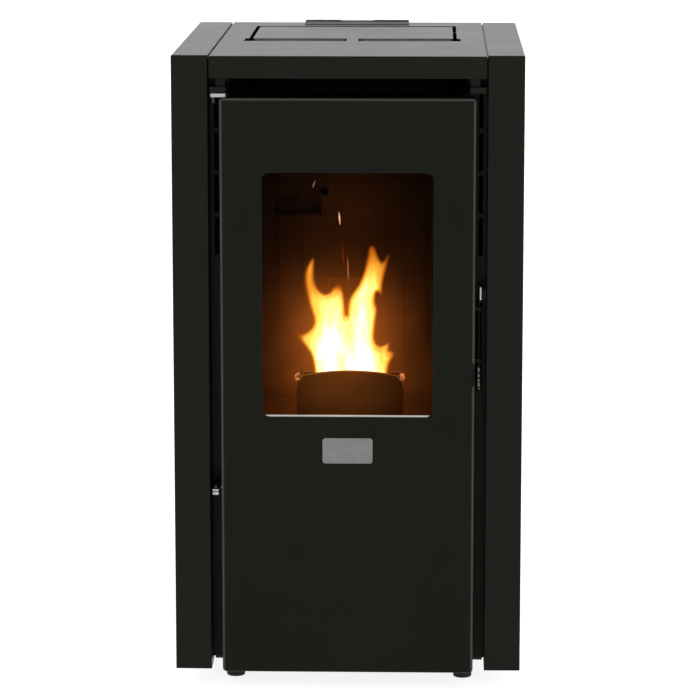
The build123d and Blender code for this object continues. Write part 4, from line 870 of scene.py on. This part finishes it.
# %% Colour of the fire
GAS_COLOURS = (
    (0.0, (0.50, 0.085, 0.004)), (0.18, (0.85, 0.22, 0.012)), (0.36, (1.0, 0.44, 0.040)),
    (0.52, (1.0, 0.70, 0.13)), (0.66, (1.0, 0.86, 0.30)), (0.80, (1.0, 0.93, 0.52)), (0.98, (0.93, 0.97, 1.0)),
)
GAS_GLOW = (1.5, 3.9)
GAS_COVER = 0.70


def burning_gas(name):
    """Glow and opacity from the heat that each point carries."""
    material, tree, shader = new_finish(name, (0, 0, 0), 1.0, specular=0.0)
    own = node(tree, "ShaderNodeAttribute", attribute_name="hotness")
    wisp = mottle(tree, 0.010, 0.80, 1.18, stretch=(1, 1, 0.28), detail=2.0)
    hot = times(tree, own.outputs["Fac"], wisp)
    ramp = node(tree, "ShaderNodeValToRGB")
    while len(ramp.color_ramp.elements) < len(GAS_COLOURS):
        ramp.color_ramp.elements.new(0.5)
    for element, (at, colour) in zip(ramp.color_ramp.elements, GAS_COLOURS):
        element.position = at
        element.color = (*colour, 1)
    feed(ramp, "Fac", hot)
    feed(shader, "Emission Color", ramp.outputs["Color"])
    feed(shader, "Emission Strength", rescale(tree, hot, 0.30, 1.0, *GAS_GLOW))
    cover = rescale(tree, hot, 0.0, 0.75, 0.0, GAS_COVER, interpolation_type="SMOOTHSTEP")
    feed(shader, "Alpha", cover)
    return material


gas = burning_gas("flame_gas")
flames.data.materials.append(gas)
flames.visible_shadow = False
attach(flames, "pot")
print("flames ride on the burn pot")

# %% [markdown]
# ## Sparks
#
# Sparks are grains of glowing char that the draught carries up. A camera's shutter turns each into a
# short streak. Each streak is a thin closed spindle with a few facets, pointed at both ends.

# %% Shape of a spark
def spindle(start, end, radius, sides=6, rows=5):
    """A closed spindle between two points."""
    low, high = Vector(start), Vector(end)
    axis = (high - low).normalized()
    side = axis.orthogonal().normalized()
    points, faces = [low], []
    for row in range(1, rows):
        t = row / rows
        for k in range(sides):
            turn = Matrix.Rotation(2 * math.pi * k / sides, 3, axis)
            points.append(low.lerp(high, t) + turn @ side * radius * math.sin(math.pi * t))
    points.append(high)
    for k in range(sides):
        n = (k + 1) % sides
        faces.append((0, 1 + n, 1 + k))
        for row in range(rows - 2):
            a = 1 + row * sides
            faces.append((a + k, a + n, a + sides + n, a + sides + k))
        last = 1 + (rows - 2) * sides
        faces.append((last + k, last + n, len(points) - 1))
    return points, faces


print("corners of one spark:", len(spindle((0, 0, 0), (0, 0, 1), 0.1)[0]))

# %% [markdown]
# Each row of the list is a spark: its low and high end in x, z millimetres, its radius, how bright it is and
# how pale. The last two are carried by its points, so one finish serves all the sparks.

# %% Sparks
SPARKS = [
    ((-51.9, 656.1), (-48.1, 667.4), 0.7, 0.45, 1.0),
    ((-16.1, 624.7), (-14.3, 605.4), 1.2, 1.3, 0.8),
    ((-12.2, 585.0), (-8.9, 548.0), 0.9, 0.16, 0.0),
    ((-4.2, 564.7), (-3.3, 526.0), 0.9, 0.50, 0.3),
    ((67.5, 601.2), (67.9, 603.0), 0.9, 0.5, 0.3),
    ((-76.1, 435.3), (-75.7, 436.9), 0.8, 0.4, 0.2),
    ((-84.0, 422.7), (-83.7, 424.2), 0.8, 0.4, 0.2),
    ((-88.6, 405.9), (-88.2, 407.4), 0.8, 0.4, 0.2),
    ((-62.6, 418.2), (-62.2, 420.0), 0.7, 0.5, 0.4),
]


def spark_glow(name):
    """Glowing char, as bright and as pale as each spark says."""
    material, tree, shader = new_finish(name, (0.1, 0.02, 0.0), 1.0, specular=0.0)
    pale = node(tree, "ShaderNodeAttribute", attribute_name="paleness")
    bright = node(tree, "ShaderNodeAttribute", attribute_name="brightness")
    feed(shader, "Emission Color", between(tree, pale.outputs["Fac"], (1.0, 0.16, 0.03), (1.0, 0.72, 0.58)))
    uneven = times(tree, bright.outputs["Fac"], mottle(tree, 0.006, 0.8, 1.6))
    feed(shader, "Emission Strength", uneven)
    return material


spark_points, spark_faces, spark_tones = [], [], []
for (x0, z0), (x1, z1), radius, brightness, paleness in SPARKS:
    low = (x0 / 1000, FIRE_Y, z0 / 1000)
    high = (x1 / 1000, FIRE_Y, z1 / 1000)
    points, faces = spindle(low, high, radius / 1000)
    start = len(spark_points)
    spark_points += points
    spark_tones += [(brightness, paleness)] * len(points)
    spark_faces += [tuple(start + corner for corner in face) for face in faces]
sparks = make_mesh("sparks", spark_points, spark_faces)
carry(sparks, "brightness", [brightness for brightness, paleness in spark_tones])
carry(sparks, "paleness", [paleness for brightness, paleness in spark_tones])
sparks.data.materials.append(spark_glow("spark_glow"))
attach(sparks, "pot")
print("sparks:", len(SPARKS))

# %% [markdown]
# ## Glowing pellets
#
# The fire stands on a heap of wood pellets, six millimetre rods about fifteen to twenty long, that lie
# as they fell. Each is a short rod with rounded, broken ends.

# %% One pellet
PELLET_RADIUS = 0.003
PELLET_SIDES = 10


def pellet(middle, axis, length, radius, seed):
    """A closed rod with softened ends."""
    axis = axis.normalized()
    side = axis.orthogonal().normalized()
    rings = ((-0.5, 0.55), (-0.47, 0.9), (-0.4, 1.0), (0.0, 1.03), (0.4, 1.0), (0.47, 0.88), (0.5, 0.5))
    points = []
    for t, swell in rings:
        for k in range(PELLET_SIDES):
            turn = Matrix.Rotation(2 * math.pi * k / PELLET_SIDES, 3, axis)
            spot = Vector((seed, 3 * t, k * 0.9))
            rim = radius * swell * (1 + 0.06 * noise.noise(spot))
            points.append(middle + axis * length * (t + 0.01 * noise.noise(spot * 2)) + turn @ side * rim)
    return points, tube(len(rings), PELLET_SIDES, capped=True)


sample = pellet(Vector((0, 0, 0)), Vector((1, 0, 0)), 0.015, PELLET_RADIUS, 0)
print("faces of one pellet:", len(sample[1]))

# %% [markdown]
# Pellets fall as they like, so each is turned and placed at random, with a fixed seed that gives the same
# heap every time. The heap is higher in the middle of the pot.

# %% Heap of pellets
PELLET_COUNT = 190
HEAP_SEED = 5
HEAP_SINK = 0.006
MOUND_DROP = 0.010


def heap(name, low, high, top, count, seed):
    """Pellets lying in a box from low to high, whose heap reaches the height that top gives at x, y."""
    chance = random.Random(seed)
    points, faces = [], []
    for number in range(count):
        length = chance.uniform(0.010, 0.019)
        turn = chance.uniform(0, math.pi)
        tilt = chance.uniform(-0.45, 0.45)
        axis = Vector((math.cos(turn) * math.cos(tilt), math.sin(turn) * math.cos(tilt), math.sin(tilt)))
        reach = [abs(axis[k]) * length / 2 + PELLET_RADIUS * 1.1 for k in range(3)]
        x = chance.uniform(low[0] + reach[0], high[0] - reach[0])
        y = chance.uniform(low[1] + reach[1], high[1] - reach[1])
        ceiling = top(x, y) - reach[2]
        floor_level = low[2] + reach[2]
        z = max(floor_level, ceiling - chance.random() ** 2 * HEAP_SINK)
        more, round_it = pellet(Vector((x, y, z)), axis, length, PELLET_RADIUS, number)
        start = len(points)
        points += more
        faces += [tuple(start + corner for corner in face) for face in round_it]
    return make_mesh(name, points, faces)


bed_low, bed_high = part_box("ember_bed")


def bed_top(x, y):
    """Height of the heap: a low mound inside the bed's box."""
    across = 2 * (x - bed_low[0]) / (bed_high[0] - bed_low[0]) - 1
    back = 2 * (y - bed_low[1]) / (bed_high[1] - bed_low[1]) - 1
    mound = (1 - across ** 4) * (1 - back ** 4)
    return bed_high[2] - MOUND_DROP * (1 - mound)


embers = heap("glowing_pellets", bed_low, bed_high, bed_top, PELLET_COUNT, HEAP_SEED)
print("glowing pellets:", PELLET_COUNT)

# %% [markdown]
# Char glows in patches, where the air reaches it, and is black elsewhere. One mottle gives both the colour
# and the strength of the glow.

# %% Glow of the pellets
def glowing_char(name):
    """Char that glows in patches and is black with ash elsewhere."""
    material, tree, shader = new_finish(name, (0.02, 0.015, 0.012), 0.9, specular=0.1)
    paint(tree, shader, mottle(tree, 0.004, 0, 1), (0.010, 0.008, 0.007), (0.12, 0.10, 0.09))
    heat = mottle(tree, 0.009, 0, 1, sharp=0.08)
    feed(shader, "Emission Color", between(tree, heat, (0.45, 0.03, 0.0), (1.0, 0.35, 0.05)))
    feed(shader, "Emission Strength", times(tree, heat, 2.5))
    grain(tree, shader, mottle(tree, 0.0015, 0, 1), 0.0003)
    return material


embers.data.materials.append(glowing_char("glowing_char"))
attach(embers, "pot")
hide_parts("ember_bed")
print("pellets ride on the burn pot")

# %% [markdown]
# ## The door's rope
#
# A braided rope of glass fibre sits in the door's inner frame and is squeezed against the body. Braid is two
# sets of strands that wind round the rope in opposite directions and pass over and under one another.
# First comes the line that the rope follows, a rectangle with round corners.

# %% Line of the rope
ROPE_WIDTH = 0.010
ROPE_CORNER = 0.012
ROPE_STEP = 0.0021


def rounded_loop(half, low, high, corner, step):
    """Evenly spaced (x, z) points and outward directions round a rectangle with round corners."""
    middles = ((half - corner, high - corner), (-half + corner, high - corner),
               (-half + corner, low + corner), (half - corner, low + corner))
    line = []
    for quarter, (x, z) in enumerate(middles):
        for k in range(9):
            angle = math.pi / 2 * (quarter + k / 8)
            line.append(Vector((x + corner * math.cos(angle), z + corner * math.sin(angle))))
    line.append(line[0])
    lengths = [(b - a).length for a, b in zip(line, line[1:])]
    count = int(sum(lengths) / step)
    loop, i, passed = [], 0, 0.0
    for k in range(count):
        goal = sum(lengths) * k / count
        while passed + lengths[i] < goal:
            passed += lengths[i]
            i += 1
        onward = (line[i + 1] - line[i]).normalized()
        loop.append((line[i] + onward * (goal - passed), Vector((onward.y, -onward.x))))
    return loop, sum(lengths)


rope_low, rope_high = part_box("rope_seal")
rope_thick = rope_high.y - rope_low.y
rope_y = (rope_high.y + rope_low.y) / 2
loop, rope_length = rounded_loop(rope_high.x - ROPE_WIDTH / 2, rope_low.z + ROPE_WIDTH / 2,
                                 rope_high.z - ROPE_WIDTH / 2, ROPE_CORNER, ROPE_STEP)
print("rope:", round(rope_length, 3), "m long")

# %% [markdown]
# The rope is a tube along that line. Its radius rises where one of two crossing waves is high, which gives
# the small diamonds of a braid, and the finish made above adds the fibres.

# %% Braid
ROPE_SIDES = 14
ROPE_STRANDS = 6
ROPE_PITCH = 0.012

turns = round(rope_length / ROPE_PITCH)
rope_points = []
for k, (spot, outward) in enumerate(loop):
    wave = math.pi * turns * k / len(loop) * 2
    for side in range(ROPE_SIDES):
        angle = 2 * math.pi * side / ROPE_SIDES
        wound = ROPE_STRANDS / 2 * angle
        strand = max(abs(math.sin(wound + wave)), abs(math.sin(wound - wave)))
        swell = 0.86 + 0.13 * strand
        out = ROPE_WIDTH / 2 * swell * math.cos(angle)
        rope_points.append((spot.x + outward.x * out, rope_y + rope_thick / 2 * swell * math.sin(angle),
                            spot.y + outward.y * out))
rope_faces = tube(len(loop), ROPE_SIDES, closed=True)
braid = make_mesh("braided_rope", rope_points, rope_faces)
braid.data.materials.append(rope)
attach(braid, "door")
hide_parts("rope_seal")
print("faces of the braid:", len(rope_faces))

# %% [markdown]
# ## The latch's grip
#
# The grip is a small turned handle with a diamond knurl, so that two fingers can turn it behind the edge of
# the door. A knurl is two sets of grooves that wind in opposite directions. Each point of the tube lies as
# deep as the deeper of the two grooves there, and carries its height for the finish to read.

# %% Shape of the grip
GRIP_SIDES = 60
GRIP_ROWS = 72
KNURL_TEETH = 12
KNURL_DEPTH = 0.00055
GRIP_END = 0.0009
GRIP_END_DROP = 0.0006


def ridge(turns):
    """1 on the crest of a groove's side and 0 in the groove, for a number of turns."""
    return abs(2 * (turns % 1) - 1)


grip_low, grip_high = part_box("latch_grip")
grip_x, grip_y = (grip_low.x + grip_high.x) / 2, (grip_low.y + grip_high.y) / 2
grip_radius = (grip_high.x - grip_low.x) / 2
grip_height = grip_high.z - grip_low.z
knurl_rise = 2 * math.pi * grip_radius / KNURL_TEETH
grip_points, crests = [], []
for row in range(GRIP_ROWS + 1):
    t = row / GRIP_ROWS
    end = min(1.0, min(t, 1 - t) * grip_height / GRIP_END)
    for side in range(GRIP_SIDES):
        turn = side / GRIP_SIDES
        climb = t * grip_height / knurl_rise
        crest = min(ridge(KNURL_TEETH * turn + climb), ridge(KNURL_TEETH * turn - climb))
        out = grip_radius - KNURL_DEPTH * (1 - crest) - GRIP_END_DROP * (1 - end)
        angle = 2 * math.pi * turn
        grip_points.append((grip_x + out * math.cos(angle), grip_y + out * math.sin(angle),
                            grip_low.z + t * grip_height))
        crests.append(crest * end)
grip = make_mesh("knurled_grip", grip_points, tube(GRIP_ROWS + 1, GRIP_SIDES, capped=True))
carry(grip, "crest", crests)
print("knurl:", KNURL_TEETH, "diamonds round the grip,", round(grip_height / knurl_rise, 1), "along it")

# %% [markdown]
# Fingers rub the tips of a knurl bright, while its grooves stay black. The height that each point carries
# says which it is, and a mottle makes the rubbing patchy.

# %% Finish of the grip
def knurled_steel(name):
    """Blackened steel, rubbed bright on the tips of its knurl."""
    material, tree, shader = new_finish(name, (0.05, 0.05, 0.05), 0.35, metallic=1.0)
    own = node(tree, "ShaderNodeAttribute", attribute_name="crest")
    tips = rescale(tree, own.outputs["Fac"], 0.35, 0.75)
    rubbed = times(tree, tips, mottle(tree, 0.0022, 0.0, 1.3, sharp=0.14))
    paint(tree, shader, rubbed, (0.010, 0.010, 0.010), (0.90, 0.89, 0.86))
    roughen(tree, shader, 0.002, 0.28, 0.45)
    grain(tree, shader, mottle(tree, 0.0004, 0, 1), 0.00001)
    return material


grip.data.materials.append(knurled_steel("knurled_steel"))
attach(grip, "latch")
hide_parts("latch_grip")
print("the grip turns with the latch")

# %% [markdown]
# ## Light of the fire
#
# The sheets glow, but a renderer finds a lamp far more easily than a thin glowing sheet, so two warm lamps
# stand where the flames are and light the firebox. They are soft, like the fire, and their colour is the
# deep orange that a fire has beside daylight.

# %% Light of the fire
FIRE_COLOUR = (1.0, 0.33, 0.05)


def fire_lamp(name, spot, radius, power):
    """A round warm lamp inside the firebox."""
    light = bpy.data.lights.new(name, "POINT")
    light.shadow_soft_size = radius
    light.energy = power
    light.color = FIRE_COLOUR
    holder = bpy.data.objects.new(name, light)
    holder.location = spot
    holder.visible_camera = False
    holder.visible_glossy = False
    holder.visible_transmission = False
    bpy.context.collection.objects.link(holder)
    return holder


fire_lamp("fire_light_high", (0.0, FIRE_Y, 0.47), 0.03, 0.35)
fire_lamp("fire_light_low", (0.0, FIRE_Y - 0.055, 0.43), 0.02, 0.12)
print("fire lamps: 2")
